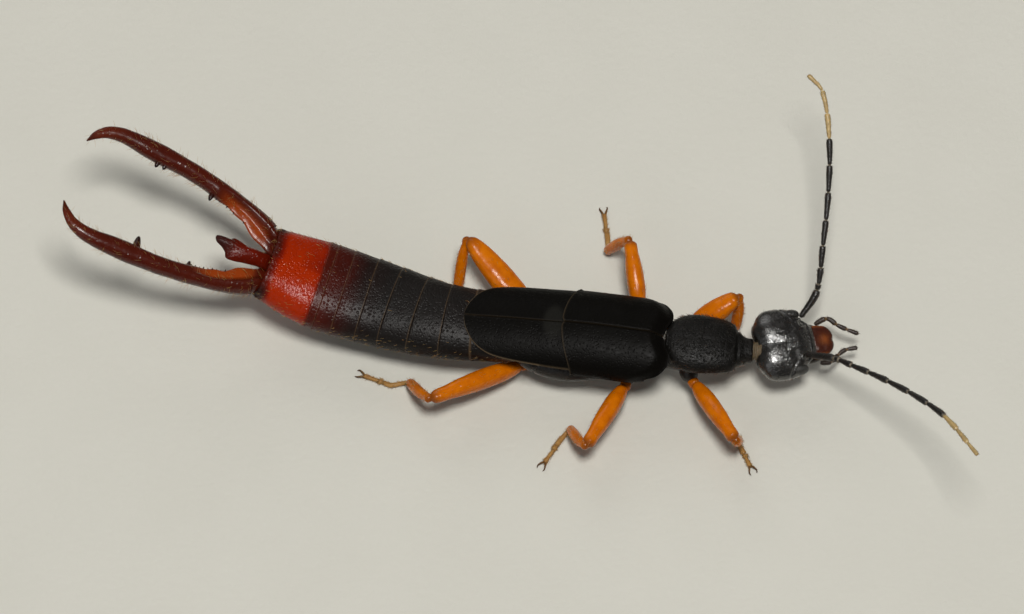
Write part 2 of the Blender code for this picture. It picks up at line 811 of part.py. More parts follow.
def build_forceps(side, teeth):
    mirror = 1 if side == "left" else -1
    matrix = tail_matrix()
    rings = []
    last = FORCEPS_ARM[-1][0]
    for t in steps(0.0, 1.0, 24):
        back = FORCEPS_ARM[0][0] + (last - FORCEPS_ARM[0][0]) * t
        offset, width = blend(FORCEPS_ARM, back)
        before = blend(FORCEPS_ARM, back - 0.04)[0]
        after = blend(FORCEPS_ARM, back + 0.04)[0]
        ahead = Vector((0.08, after - before, 0.0)).normalized()
        if t == 0.0:
            ahead = Vector((1, 0, 0))
        across = Vector((-ahead.y, ahead.x, 0.0))
        height = blend(FORCEPS_HEIGHT, back)[0] / 2
        ring = []
        for shift, rise in oval(width / 2, height, height, FORCEPS_SIDES, 2.2):
            place = Vector((back, offset, 0)) + across * shift + Vector((0, 0, rise))
            place.y *= mirror
            ring.append(matrix @ place)
        rings.append(ring)
    arm = add_object("forceps_" + side, loft(rings), "forceps_red")
    pieces = []
    for back, length, radius in teeth:
        pieces.append(tooth(side, back, length, radius, mirror))
    for back in steps(*DENTICLE_SPAN, DENTICLES):
        pieces.append(tooth(side, back, DENTICLE_SIZE, DENTICLE_SIZE, mirror))
    boolean(arm, pieces, "UNION")


def tooth(side, back, length, radius, mirror):
    """A cone on an arm's inner edge, with its root sunk in the arm."""
    offset, width = blend(FORCEPS_ARM, back)
    root = 0.16
    bm = bmesh.new()
    bmesh.ops.create_cone(
        bm,
        cap_ends=True,
        segments=7,
        radius1=radius * (1 + root / length) * 0.9,
        radius2=0.012,
        depth=length + root,
    )
    bmesh.ops.translate(bm, verts=bm.verts, vec=(0, 0, (length - root) / 2))
    turn = Matrix.Rotation(math.radians(90.0 if mirror > 0 else -90.0), 4, "X")
    lift = Matrix.Rotation(math.radians(12.0 * mirror), 4, "X")
    edge = (offset - width / 2) * mirror
    place = Matrix.Translation((back, edge, 0.0))
    bmesh.ops.transform(bm, matrix=tail_matrix() @ place @ lift @ turn, verts=bm.verts)
    return add_cutter("tooth_%s_%.2f" % (side, back), bm)


def build_pygidium():
    """The plate between the arms, with two points behind a hollow edge."""
    bm = bmesh.new()
    matrix = tail_matrix()
    half = PYGIDIUM_HALF_THICKNESS
    top = [bm.verts.new(matrix @ Vector((b, s, half * 0.8))) for b, s in PYGIDIUM_OUTLINE]
    low = [bm.verts.new(matrix @ Vector((b, s, -half))) for b, s in PYGIDIUM_OUTLINE]
    count = len(top)
    middle_top = bm.verts.new(matrix @ Vector((0.62, 0.0, half * 1.25)))
    middle_low = bm.verts.new(matrix @ Vector((0.62, 0.0, -half * 1.2)))
    for k in range(count):
        n = (k + 1) % count
        bm.faces.new((top[k], top[n], low[n], low[k]))
        bm.faces.new((top[k], top[n], middle_top))
        bm.faces.new((low[k], low[n], middle_low))
    bmesh.ops.triangulate(bm, faces=bm.faces)
    bmesh.ops.recalc_face_normals(bm, faces=bm.faces)
    add_object("pygidium", bm, "dark_red")


def coxa(leg, grow):
    plan = LEGS[leg]
    root = Vector(plan["root"])
    hip = Vector(plan["hip"])
    end = hip - (hip - root).normalized() * (GAP / 2)
    points = [root.lerp(end, t) for t in (0.0, 0.35, 0.7, 1.0)]
    radii = [COXA_RADIUS * k for k in (0.72, 1.0, 0.96, 0.78)]
    if grow:
        outward = (end - root).normalized()
        points[0] -= outward * grow
        points[-1] += outward * 0.6
        radii = [radius + grow for radius in radii]
        return tube("coxa_socket_" + leg, points, radii, "membrane", GUIDES, 3)
    return tube("coxa_" + leg, points, radii, "cuticle_black")


def limb(name, start, end, shape, up_hint, material_name):
    """A limb of oval section between two points; shape rows are place, width, height."""
    forward, side, up = frame_between(end - start, up_hint)
    rings = []
    for place, width, height in shape:
        at = start.lerp(end, place)
        section = oval(width / 2, height / 2, height / 2, LIMB_SIDES)
        rings.append([at + side * a + up * b for a, b in section])
    return add_object(name, loft(rings), material_name)


def past_joint(joint, arriving, leaving, reach):
    """A place beyond a joint, at the given distance from the middle of the last round end."""
    turn = arriving.dot(leaving)
    across = JOINT_SETBACK**2 * (1.0 - turn**2)
    return joint + leaving * (math.sqrt(reach**2 - across) - JOINT_SETBACK * turn)


def limb_shape(length, swells):
    """Rows for a limb: round ends as wide as the joint, and the given swells between."""
    cap = JOINT_RADIUS / length
    thin = 2 * JOINT_RADIUS
    ends = ((-cap, 0.35 * thin, 0.35 * thin), (-0.55 * cap, 0.85 * thin, 0.85 * thin))
    rows = list(ends)
    rows.extend(swells)
    for place, width, height in reversed(ends):
        rows.append((1.0 - place, width, height))
    return rows


def build_leg(leg):
    plan = LEGS[leg]
    coxa(leg, 0.0)
    hip = Vector(plan["hip"])
    knee = Vector(plan["knee"])
    ankle = Vector(plan["ankle"])
    width, height = plan["femur"]
    thigh = (knee - hip).normalized()
    shin = (ankle - knee).normalized()
    root = (hip - Vector(plan["root"])).normalized()
    rise = JOINT_RADIUS + GAP - HIP_REACH * root.dot(thigh)
    start = hip + thigh * HIP_REACH + root * (rise - GAP / 2)
    end = knee - thigh * JOINT_SETBACK
    swells = (
        (0.04, 0.68 * width, 0.68 * height),
        (0.15, 0.92 * width, 0.92 * height),
        (0.35, width, height),
        (0.60, 0.94 * width, 0.94 * height),
        (0.84, 0.80 * width, 0.74 * height),
        (0.97, 0.34, 0.34),
    )
    rows = limb_shape((end - start).length, swells)
    limb("femur_" + leg, start, end, rows, Vector((0, 0, 1)), "leg_orange")
    start = past_joint(knee, thigh, shin, 2 * JOINT_RADIUS + GAP + 0.03)
    end = ankle - shin * JOINT_SETBACK
    swells = (
        (0.06, 0.32, 0.32),
        (0.28, SLENDER, SLENDER),
        (0.68, SLENDER, SLENDER),
        (0.95, 0.36, 0.36),
    )
    rows = limb_shape((end - start).length, swells)
    limb("tibia_" + leg, start, end, rows, thigh, "leg_orange")
    build_tarsus(leg, ankle, shin, [Vector(p) for p in plan["toes"]])


def floor_cutter():
    """A block whose top is the floor, to give each foot its flat."""
    bm = bmesh.new()
    bmesh.ops.create_cube(bm, size=1.0)
    place = Matrix.Translation((4.0, 0.0, -0.5)) @ Matrix.Diagonal((40.0, 30.0, 1.0, 1.0))
    bmesh.ops.transform(bm, matrix=place, verts=bm.verts)
    return add_cutter("floor", bm)


def build_tarsus(leg, ankle, shin, toes):
    """Three foot joints that lie on the floor, with a pair of claws."""
    ahead = (toes[0] - ankle).normalized()
    start = past_joint(ankle, shin, ahead, JOINT_RADIUS + GAP + 0.05)
    start.z = max(start.z, toes[0].z)
    end = toes[-1]
    line = [start, start.lerp(toes[0], 0.6)]
    line.extend(toes[0].lerp(end, t) for t in (0.25, 0.5, 0.9, 1.0))
    radii = [TARSUS_RADIUS * k for k in (0.62, 1.0, 0.86, 0.98, 0.9, 0.7)]
    foot = tube("tarsus_" + leg, line, radii, "leg_pale")
    ahead = (end - toes[0]).normalized()
    claws = []
    for sign in (-1, 1):
        turned = Matrix.Rotation(math.radians(CLAW_SPREAD_DEG) * sign, 3, "Z") @ ahead
        line = [end - ahead * 0.06, end + turned * (CLAW_LENGTH * 0.6), end + turned * CLAW_LENGTH]
        line[1].z = TARSUS_RADIUS * 0.7
        line[2].z = TARSUS_RADIUS * 0.45
        name = "claw_%s_%s" % (leg, "left" if sign > 0 else "right")
        claws.append(tube(name, line, CLAW_RADII, "leg_pale", GUIDES))
    boolean(foot, claws, "UNION")
    boolean(foot, [floor_cutter()], "DIFFERENCE")


def finish():
    """Turn every mesh into metres, with the origin below the middle of the whole."""
    low = Vector((math.inf,) * 3)
    high = Vector((-math.inf,) * 3)
    for obj in PARTS.objects:
        for vert in obj.data.vertices:
            for axis in range(3):
                low[axis] = min(low[axis], vert.co[axis])
                high[axis] = max(high[axis], vert.co[axis])
    middle = (low + high) / 2
    shift = Matrix.Translation((-middle.x, -middle.y, -low.z))
    metres = Matrix.Scale(MM, 4) @ shift
    for obj in PARTS.objects:
        obj.data.transform(metres)
        obj.data.shade_smooth()
        obj.data.set_sharp_from_angle(angle=math.radians(40.0))


clear_scene()
PARTS = make_collection(COLLECTION)
GUIDES = make_collection(CUTTERS)
build_abdomen()
build_wings()
build_thorax()
build_pronotum()
build_neck()
build_head()
build_mouth()
build_antenna("left", ANTENNA_LEFT)
build_antenna("right", ANTENNA_RIGHT)
build_palp("left", PALP_LEFT)
build_palp("right", PALP_RIGHT)
build_forceps("left", TEETH_LEFT)
build_forceps("right", TEETH_RIGHT)
build_pygidium()
for leg_name in LEGS:
    build_leg(leg_name)
finish()
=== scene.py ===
"""The looks of the earwig: fine skins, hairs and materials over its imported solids.

Sizes are in millimetres in the frame in which the solids were drawn: X from tail to
head, Y to the animal's left, Z up from the floor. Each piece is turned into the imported
model's metres when it is made.
"""
import itertools
import math

import bpy
import numpy as np
from mathutils import Matrix, Vector


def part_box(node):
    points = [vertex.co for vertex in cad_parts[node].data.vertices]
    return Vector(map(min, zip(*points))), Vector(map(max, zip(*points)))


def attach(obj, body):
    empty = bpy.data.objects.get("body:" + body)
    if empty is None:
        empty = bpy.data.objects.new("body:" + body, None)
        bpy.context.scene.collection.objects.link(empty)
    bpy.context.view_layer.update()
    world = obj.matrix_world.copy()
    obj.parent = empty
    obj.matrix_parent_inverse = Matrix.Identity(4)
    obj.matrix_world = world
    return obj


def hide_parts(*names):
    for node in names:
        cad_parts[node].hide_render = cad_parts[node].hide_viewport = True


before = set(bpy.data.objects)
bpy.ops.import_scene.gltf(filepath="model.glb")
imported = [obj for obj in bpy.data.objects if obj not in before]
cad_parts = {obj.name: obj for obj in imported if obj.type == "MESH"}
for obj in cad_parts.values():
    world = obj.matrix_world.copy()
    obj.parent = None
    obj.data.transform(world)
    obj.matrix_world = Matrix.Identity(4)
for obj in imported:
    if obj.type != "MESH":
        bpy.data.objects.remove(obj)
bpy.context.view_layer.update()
MM = 0.001

# Spine of the trunk, from the last tergite to the neck: X, Y, Z
SPINE = (
    (-5.70, 2.28, 2.56),
    (-4.59, 1.94, 2.06),
    (-3.47, 1.59, 1.63),
    (-1.60, 1.04, 1.34),
    (0.40, 0.43, 1.38),
    (2.50, 0.15, 1.52),
    (4.50, -0.09, 1.61),
    (6.60, -0.38, 1.60),
    (9.10, -0.55, 1.48),
    (10.60, -0.62, 1.44),
)

# Abdomen: X along the spine, half width, rise and drop from the spine
ABDOMEN = (
    (-4.59, 1.04, 0.56, 0.52),
    (-3.90, 1.20, 0.64, 0.60),
    (-3.20, 1.29, 0.69, 0.66),
    (-2.40, 1.30, 0.71, 0.68),
    (-1.00, 1.23, 0.70, 0.66),
    (0.50, 1.10, 0.66, 0.62),
    (1.40, 1.05, 0.56, 0.62),
    (2.22, 1.02, 0.50, 0.62),
    (3.00, 0.90, 0.36, 0.50),
)
TERGITE_EDGES = (-4.59, -3.18, -2.94, -2.44, -1.76, -1.09, -0.31, 0.46, 1.25)
TERGITE_LIP = 0.008
TERGITE_TUCK = 0.004
LIP_OVERHANG = 0.010
LIP_REACH = 0.006
# Width of the painted highlight line along each tergite's hind edge
HIND_EDGE = 0.022
RIM_RECESS = 0.22
RIM_LIFTS = (-0.62, -0.20, -0.15, -0.11, -0.07)
BODY_SQUARE = 2.3
BEAD_SPACING = 0.095
# How red the abdomen is: places along it, and values there
LAST_RING_RED = ((-3.9, -3.3, -3.2), (0.98, 0.92, 0.86))
ABDOMEN_RED = ((-3.10, -2.70, -2.30, -1.95, -1.2), (0.66, 0.58, 0.50, 0.30, 0.05))
SIDE_FOLD_DEG = -13.0

# Shell of the fore wings and of the folded wings' tips behind them
SHELL_HALF_WIDTH = 1.29
SHELL_RISE = 0.70
ELYTRON_THICKNESS = 0.10
SUTURE_HALF_GAP = 0.008
ELYTRON_REAR = 3.72
ELYTRON_CURVE = 0.34
ELYTRON_MARGIN_DEG = -14.0
# Front edge of a fore wing: place across it from suture to margin, X
ELYTRON_FRONT = (
    (0.00, 6.50),
    (0.25, 6.60),
    (0.45, 6.72),
    (0.60, 6.73),
    (0.76, 6.64),
    (0.93, 6.42),
    (1.00, 6.12),
)
FRONT_SLOPE = 0.50
FRONT_DROP = 0.34
SCALE_SINK = 0.07
SCALE_THICKNESS = 0.07
SCALE_FRONT = 4.10
SCALE_OUTLINE = (
    (1.00, 0.05),
    (1.03, 0.22),
    (1.12, 0.46),
    (1.36, 0.80),
    (1.70, 1.02),
    (2.10, 1.12),
    (2.70, 1.18),
    (3.60, 1.23),
    (4.10, 1.24),
)
PATCH_AT = (3.49, 0.0)
PATCH_REACH = (0.36, 0.62)

# Thorax below the wings: X, half width, centre height, rise, drop
THORAX = (
    (2.30, 0.30, 1.20, 0.20, 0.25),
    (2.42, 0.72, 1.18, 0.36, 0.44),
    (2.80, 1.00, 1.12, 0.44, 0.52),
    (3.30, 1.17, 1.08, 0.44, 0.56),
    (3.84, 1.24, 1.06, 0.44, 0.56),
    (4.40, 1.18, 1.06, 0.44, 0.52),
    (5.00, 1.02, 1.08, 0.42, 0.52),
    (5.60, 0.97, 1.10, 0.40, 0.50),
    (6.20, 0.84, 1.10, 0.34, 0.44),
    (6.46, 0.60, 1.10, 0.26, 0.34),
)
PROTHORAX = (
    (6.40, 0.34, 1.02, 0.30, 0.28),
    (6.70, 0.44, 1.02, 0.36, 0.34),
    (7.20, 0.48, 1.02, 0.42, 0.38),
    (7.80, 0.46, 1.04, 0.42, 0.36),
    (8.40, 0.38, 1.10, 0.36, 0.30),
    (8.86, 0.28, 1.20, 0.28, 0.24),
)
# Folds across the underside of the thorax: X
THORAX_FOLDS = (3.02, 4.62, 5.05, 6.12)

# Pronotum: X, half width, rise and drop from its middle, and the middle's lift
PRONOTUM = (
    (6.56, 0.10, 0.22, 0.02, 0.12),
    (6.58, 0.32, 0.30, 0.06, 0.12),
    (6.64, 0.48, 0.33, 0.08, 0.12),
    (6.76, 0.64, 0.37, 0.12, 0.13),
    (7.00, 0.80, 0.39, 0.17, 0.14),
    (7.40, 0.88, 0.40, 0.18, 0.14),
    (7.85, 0.85, 0.39, 0.18, 0.14),
    (8.20, 0.79, 0.37, 0.18, 0.12),
    (8.46, 0.70, 0.34, 0.20, 0.08),
    (8.62, 0.54, 0.31, 0.24, 0.04),
    (8.74, 0.40, 0.29, 0.27, 0.00),
    (8.86, 0.34, 0.28, 0.29, 0.00),
    (9.00, 0.32, 0.27, 0.28, 0.00),
    (9.04, 0.22, 0.18, 0.20, 0.00),
)
NECK_X = (8.80, 9.46)
NECK_RADIUS = 0.27
NECK_PROFILE = ((0.0, 1.0, 0.92), (0.5, 0.94, 0.86), (1.0, 1.0, 0.9))

# Head: its own frame starts at the notch behind it, with X forward
HEAD_AT = (9.33, -0.42, 1.47)
HEAD_TURN_DEG = 11.0
HEAD_DIP_DEG = 7.0
HEAD_ROLL_DEG = 10.0
HEAD = (
    (-0.18, 0.06, 0.03, 0.04),
    (-0.17, 0.30, 0.13, 0.15),
    (-0.13, 0.52, 0.22, 0.24),
    (-0.04, 0.70, 0.29, 0.32),
    (0.06, 0.88, 0.35, 0.41),
    (0.22, 1.00, 0.39, 0.46),
    (0.46, 1.03, 0.41, 0.47),
    (0.72, 1.01, 0.41, 0.47),
    (0.94, 0.91, 0.37, 0.44),
    (1.12, 0.72, 0.30, 0.38),
    (1.26, 0.57, 0.23, 0.31),
    (1.37, 0.48, 0.17, 0.24),
    (1.44, 0.38, 0.11, 0.17),
    (1.47, 0.14, 0.03, 0.05),
)
LOBE_DEPTH = 0.12
LOBE_WIDTH = 0.34
LOBE_REACH = 0.60
EYE_AT = (0.88, 0.80, 0.08)
EYE_RADII = (0.26, 0.15, 0.21)
# Sutures of the head's top, as lines of (forward, side) points
SUTURES = (
    ((-0.14, 0.0), (0.60, -0.03)),
    ((0.60, -0.03), (0.66, 0.18), (0.90, 0.34), (1.12, 0.44)),
    ((0.60, -0.03), (0.56, -0.28), (0.80, -0.40), (1.08, -0.40)),
)
SUTURE_DEPTH = 0.016
SUTURE_WIDTH = 0.016
LABRUM_X = 1.42
LABRUM_LENGTH = 0.60
LABRUM_HALF_WIDTH = 0.46
# Mouth parts under the labrum, in the head's frame; profiles are place, width, height
MANDIBLE_PATH = ((1.16, 0.42, -0.24), (1.42, 0.40, -0.24), (1.66, 0.30, -0.24), (1.86, 0.08, -0.22))
MANDIBLE_PROFILE = ((0.0, 0.34, 0.26), (0.4, 0.30, 0.24), (0.8, 0.17, 0.15), (1.0, 0.06, 0.06))
LIP_PALP_PATH = ((1.10, 0.20, -0.40), (1.40, 0.26, -0.44), (1.62, 0.22, -0.43), (1.84, 0.12, -0.36))
LIP_PALP_JOINTS = (0.0, 0.36, 0.68, 1.0)
LIP_PALP_RADIUS = 0.075
LOWER_LIP_PATH = ((0.60, 0.0, -0.42), (1.00, 0.0, -0.46), (1.40, 0.0, -0.42))
LOWER_LIP_PROFILE = ((0.0, 0.50, 0.14), (0.6, 0.46, 0.16), (1.0, 0.34, 0.12))

# Antennae: lengths of the segments from the socket out, and the line they follow
ANTENNA_SEGMENTS = (0.86, 0.16, 0.44, 0.58, 0.68, 0.74, 0.72, 0.70, 0.66, 0.62, 0.56)
ANTENNA_PALE_FROM = 8
ANTENNA_RADIUS = 0.088
SCAPE_RADIUS = 0.105
JOINT_RING = 0.034
ANTENNAE = {
    "left": (
        (10.36, 0.46, 1.56),
        (10.81, 1.08, 1.90),
        (10.98, 2.13, 2.50),
        (11.14, 3.55, 3.15),
        (11.17, 4.86, 3.80),
        (10.98, 6.12, 4.35),
        (10.58, 6.57, 4.50),
    ),
    "right": (
        (10.50, -0.68, 1.54),
        (11.28, -1.00, 1.95),
        (11.68, -1.31, 2.22),
        (12.53, -1.98, 2.75),
        (13.44, -2.81, 3.35),
        (14.25, -3.75, 3.95),
        (15.09, -5.34, 4.85),
    ),
}
PALPS = {
    "left": (
        (10.76, 0.50, 1.02),
        (11.12, 0.64, 1.10),
        (11.42, 0.46, 1.05),
        (11.60, 0.38, 1.02),
        (12.01, 0.24, 0.94),
    ),
    "right": (
        (10.92, -0.62, 0.84),
        (11.24, -0.56, 0.84),
        (11.46, -0.32, 0.82),
        (11.62, -0.20, 0.82),
        (11.98, -0.12, 0.82),
    ),
}
PALP_JOINTS = (0.0, 0.26, 0.50, 0.74, 1.0)
PALP_RADIUS = 0.080

# Forceps: distance behind the last tergite, distance from the middle, width
TAIL_AT = (-4.59, 1.94, 2.06)
TAIL_TURN_DEG = 18.2
TAIL_RISE_DEG = 22.0
FORCEPS_ARM = (
    (-0.10, 0.60, 0.70),
    (0.12, 0.66, 0.80),
    (0.45, 0.86, 0.78),
    (1.00, 1.12, 0.62),
    (1.90, 1.36, 0.53),
    (2.60, 1.49, 0.50),
    (3.20, 1.55, 0.51),
    (3.80, 1.58, 0.57),
    (4.30, 1.60, 0.54),
    (4.80, 1.62, 0.46),
    (5.20, 1.59, 0.40),
    (5.55, 1.47, 0.33),
    (5.82, 1.24, 0.22),
    (6.00, 0.98, 0.03),
)
FORCEPS_HEIGHT = (
    (-0.10, 0.60), (0.12, 0.72), (1.00, 0.56), (3.80, 0.50), (5.20, 0.36), (6.00, 0.04)
)
BLADE_END = 2.05
# Teeth on the inner edge: distance behind the tergite, length, root radius
TEETH = {
    "right": ((2.02, 0.14, 0.09), (3.60, 0.32, 0.13)),
    "left": ((2.11, 0.22, 0.10), (3.66, 0.12, 0.09), (3.88, 0.16, 0.10)),
}
DENTICLES = 13
DENTICLE_SPAN = (0.50, 1.95)
DENTICLE_SIZE = 0.055
TOOTH_SIDES = 14
TOOTH_RINGS = 12
PYGIDIUM_OUTLINE = (
    (-0.10, -0.22),
    (0.30, -0.27),
    (0.60, -0.34),
    (0.92, -0.41),
    (1.12, -0.42),
    (1.20, -0.27),
    (1.34, -0.18),
    (1.54, -0.08),
    (1.60, 0.06),
    (1.48, 0.14),
    (1.20, 0.15),
    (1.08, 0.24),
    (0.80, 0.19),
    (0.30, 0.22),
    (-0.10, 0.20),
)
PYGIDIUM_HALF = 0.20

# Legs: hip, knee, ankle and toes of each, with the coxa's root in the body
LEGS = {
    "front_right": {
        "root": (7.12, -0.70, 1.00),
        "hip": (7.34, -1.16, 0.84),
        "knee": (8.52, -3.26, 1.40),
        "ankle": (8.60, -2.72, 0.26),
        "toes": ((8.72, -2.98, 0.17), (8.96, -3.50, 0.17)),
        "femur": (0.50, 0.56),
    },
    "front_left": {
        "root": (7.12, -0.02, 0.98),
        "hip": (7.20, 0.34, 0.84),
        "knee": (8.64, 1.10, 1.62),
        "ankle": (8.56, 0.72, 0.26),
        "toes": ((8.52, 0.36, 0.17), (8.34, -0.20, 0.17)),
        "femur": (0.68, 0.56),
    },
    "mid_right": {
        "root": (5.55, -0.72, 0.94),
        "hip": (5.50, -1.22, 0.80),
        "knee": (4.37, -3.36, 1.24),
        "ankle": (3.92, -2.36, 0.26),
        "toes": ((3.66, -2.66, 0.17), (3.20, -3.38, 0.17)),
        "femur": (0.50, 0.56),
    },
    "mid_left": {
        "root": (5.72, 0.34, 0.94),
        "hip": (5.90, 0.86, 0.80),
        "knee": (5.60, 2.88, 1.52),
        "ankle": (4.96, 3.16, 0.26),
        "toes": ((5.00, 3.54, 0.17), (4.90, 4.38, 0.17)),
        "femur": (0.50, 0.60),
    },
    "hind_right": {
        "root": (3.20, -0.22, 0.86),
        "hip": (2.68, -0.52, 0.60),
        "knee": (0.02, -1.98, 1.38),
        "ankle": (-0.59, -0.92, 0.26),
        "toes": ((-1.10, -0.98, 0.17), (-1.86, -0.68, 0.17)),
        "femur": (0.53, 0.62),
    },
    "hind_left": {
        "root": (3.60, 0.40, 0.80),
        "hip": (3.12, 0.60, 0.62),
        "knee": (1.06, 2.94, 1.56),
        "ankle": (0.76, 1.86, 0.26),
        "toes": ((0.36, 1.72, 0.17), (-0.40, 1.62, 0.17)),
        "femur": (0.78, 0.56),
    },
}
# Shapes of the leg's parts: place along, width and height, as shares of the full width
COXA_PROFILE = ((0.0, 0.8, 0.8), (0.4, 1.0, 1.0), (0.8, 0.88, 0.9), (1.0, 0.6, 0.6))
FEMUR_PROFILE = (
    (0.0, 0.50, 0.50),
    (0.08, 0.72, 0.74),
    (0.22, 0.94, 0.96),
    (0.40, 1.0, 1.0),
    (0.62, 0.94, 0.92),
    (0.82, 0.76, 0.72),
)
TIBIA_PROFILE = (
    (0.0, 0.72, 0.80),
    (0.07, 0.80, 0.86),
    (0.14, 0.76, 0.74),
    (0.35, 0.94, 0.90),
    (0.70, 1.0, 0.94),
    (0.92, 0.84, 0.82),
    (1.0, 0.66, 0.64),
)
# The same for each of the foot's three joints, of one swell for width and height
TARSUS_SWELLS = (
    ((0.0, 0.66), (0.3, 0.80), (0.8, 0.98), (1.0, 0.84)),
    ((0.0, 0.62), (0.6, 1.04), (1.0, 0.92)),
    ((0.0, 0.56), (0.5, 0.72), (0.9, 0.84), (1.0, 0.70)),
)
# Place along, width and height in millimetres
TROCHANTER_PROFILE = ((0.0, 0.22, 0.22), (0.4, 0.32, 0.32), (0.8, 0.30, 0.30), (1.0, 0.24, 0.24))
CLAW_PROFILE = ((0.0, 0.070, 0.080), (0.4, 0.052, 0.060), (0.8, 0.030, 0.034), (1.0, 0.012, 0.012))
COXA_RADIUS = 0.25
TIBIA_WIDTH = 0.32
FOOT_HEIGHT = 0.075
ANKLE_HEIGHT = 0.15
TARSUS_WIDTH = 0.15
CLAW_LENGTH = 0.24

# Camera: height of its view above the floor's plane, and what it looks at
VIEW_ELEVATION_DEG = 64.0
VIEW_WIDTH = 28.67
VIEW_TARGET = (2.296, 0.860, 1.40)
LENS = 400.0
SENSOR = 36.0
# How far left a point moves to keep its place in the picture as it drops by 1
VIEW_SLOPE = 1.0 / math.tan(math.radians(VIEW_ELEVATION_DEG))

# Bristles: tiles along each side of their UV map, width of one's patch, least height
COAT_TILES = 8
COAT_PATCH = 0.003
FLOOR_CLEARANCE = 0.002
SEED = 7
FINE = 1.0


def table(rows, x):
    """Read rows of numbers at each x, in their first column, along a smooth curve."""
    rows = np.array(rows, float)
    x = np.clip(np.atleast_1d(np.asarray(x, float)), rows[0, 0], rows[-1, 0])
    i = np.clip(np.searchsorted(rows[:, 0], x, side="right") - 1, 0, len(rows) - 2)
    before = rows[np.maximum(i - 1, 0)]
    start = rows[i]
    end = rows[i + 1]
    after = rows[np.minimum(i + 2, len(rows) - 1)]
    span = end[:, :1] - start[:, :1]
    t = (x - start[:, 0])[:, None] / span
    slope_a = (end - before) / (end[:, :1] - before[:, :1]) * span
    slope_b = (after - start) / (after[:, :1] - start[:, :1]) * span
    value = (2 * t**3 - 3 * t**2 + 1) * start + (t**3 - 2 * t**2 + t) * slope_a
    value += (3 * t**2 - 2 * t**3) * end + (t**3 - t**2) * slope_b
    return value[:, 1:]


def unit(v):
    length = np.linalg.norm(v, axis=-1, keepdims=True)
    return v / np.maximum(length, 1e-12)


def dense(count):
    return int(count * FINE)


def bell(offset, width):
    """1 where the offset is 0, fading to nothing a few widths away."""
    return np.exp(-((offset / width) ** 2))


def spot(along, length, across, width):
    """A bell that fades in two directions, each with a width of its own."""
    return np.exp(-((along / length) ** 2) - (across / width) ** 2)


def smooth(t):
    t = np.clip(t, 0.0, 1.0)
    return t * t * (3 - 2 * t)


def cell_value(cell, seed):
    """One number from 0 to 1 for each cell of a grid of cubes."""
    c = cell.astype(np.int64)
    h = (c[..., 0] * 73856093) ^ (c[..., 1] * 19349663) ^ (c[..., 2] * 83492791) ^ (seed * 40503)
    h = ((h ^ (h >> 13)) * 1274126177) & 0x7FFFFFFF
    return ((h ^ (h >> 15)) & 0xFFFF) / 65535.0


def lumps(points, size, seed=0):
    """Smooth noise from -1 to 1 whose lumps are about as wide as size."""
    p = points / size
    base = np.floor(p)
    t = smooth(p - base)
    total = np.zeros(points.shape[:-1])
    for corner in itertools.product((0, 1), repeat=3):
        weight = np.prod(np.where(corner, t, 1 - t), axis=-1)
        total += weight * cell_value(base + corner, seed)
    return total * 2 - 1


def nearest_dot(points, size, seed=0):
    """Distance to the nearest of scattered dots, one to each cube as wide as size, over size."""
    p = points / size
    base = np.floor(p)
    best = np.full(points.shape[:-1], 2.0)
    for corner in itertools.product((-1, 0, 1), repeat=3):
        cell = base + corner
        spread = np.stack([cell_value(cell, seed + k) for k in range(3)], axis=-1)
        best = np.minimum(best, np.linalg.norm(cell + spread - p, axis=-1))
    return best


def dents(points, size, depth, seed=0):
    """Round pits of the given depth, about as far apart as size."""
    return -depth * smooth(1 - nearest_dot(points, size, seed) / 0.42)


def spine_frames(x):
    """The spine's points at x, with its forward, left and up directions there."""
    x = np.atleast_1d(np.asarray(x, float))
    at = np.column_stack([x, table(SPINE, x)])
    rise = table(SPINE, x + 0.05) - table(SPINE, x - 0.05)
    forward = unit(np.column_stack([np.full(len(x), 0.1), rise]))
    left = unit(np.cross([0.0, 0.0, 1.0], forward))
    return at, forward, left, np.cross(forward, left)


def spine_rings(xs, side, height):
    """Rings across the spine, from how far each point is to the side and up."""
    at, _, left, up = spine_frames(xs)
    return at[:, None] + left[:, None] * side[..., None] + up[:, None] * height[..., None]


def oval(angles, half_width, rise, drop, square=2.0):
    """Side and height of points round an oval, one row to each place along it."""
    c = np.cos(angles)[None, :]
    s = np.sin(angles)[None, :]
    side = half_width[:, None] * np.sign(c) * np.abs(c) ** (2 / square)
    height = np.where(s > 0, rise[:, None], drop[:, None]) * np.sign(s) * np.abs(s) ** (2 / square)
    return side, height


def around(count):
    return 2 * math.pi * (np.arange(count) + 0.5) / count


def eased(count):
    """Places from 0 to 1 that crowd together at both ends."""
    return (1 - np.cos(math.pi * np.arange(count) / (count - 1))) / 2


def stations(rows, count):
    """Places from the first row of a table to its last, crowded at both ends."""
    return rows[0][0] + (rows[-1][0] - rows[0][0]) * eased(count)


def scaled(profile, width, height):
    """A limb's profile, drawn for a width and a height of 1, at its real size."""
    return [(place, width * wide, height * high) for place, wide, high in profile]


def mirrored(path, mirror):
    return [(x, y * mirror, z) for x, y, z in path]


def ring_normals(rings):
    """Outward directions of a skin that is closed round each ring."""
    along = np.gradient(rings, axis=0)
    across = np.roll(rings, -1, axis=1) - np.roll(rings, 1, axis=1)
    normal = unit(np.cross(along, across))
    outward = rings - rings.mean(axis=1, keepdims=True)
    if (normal * outward).sum() < 0:
        normal = -normal
    return normal


def sheet_normals(sheet):
    return unit(np.cross(np.gradient(sheet, axis=0), np.gradient(sheet, axis=1)))


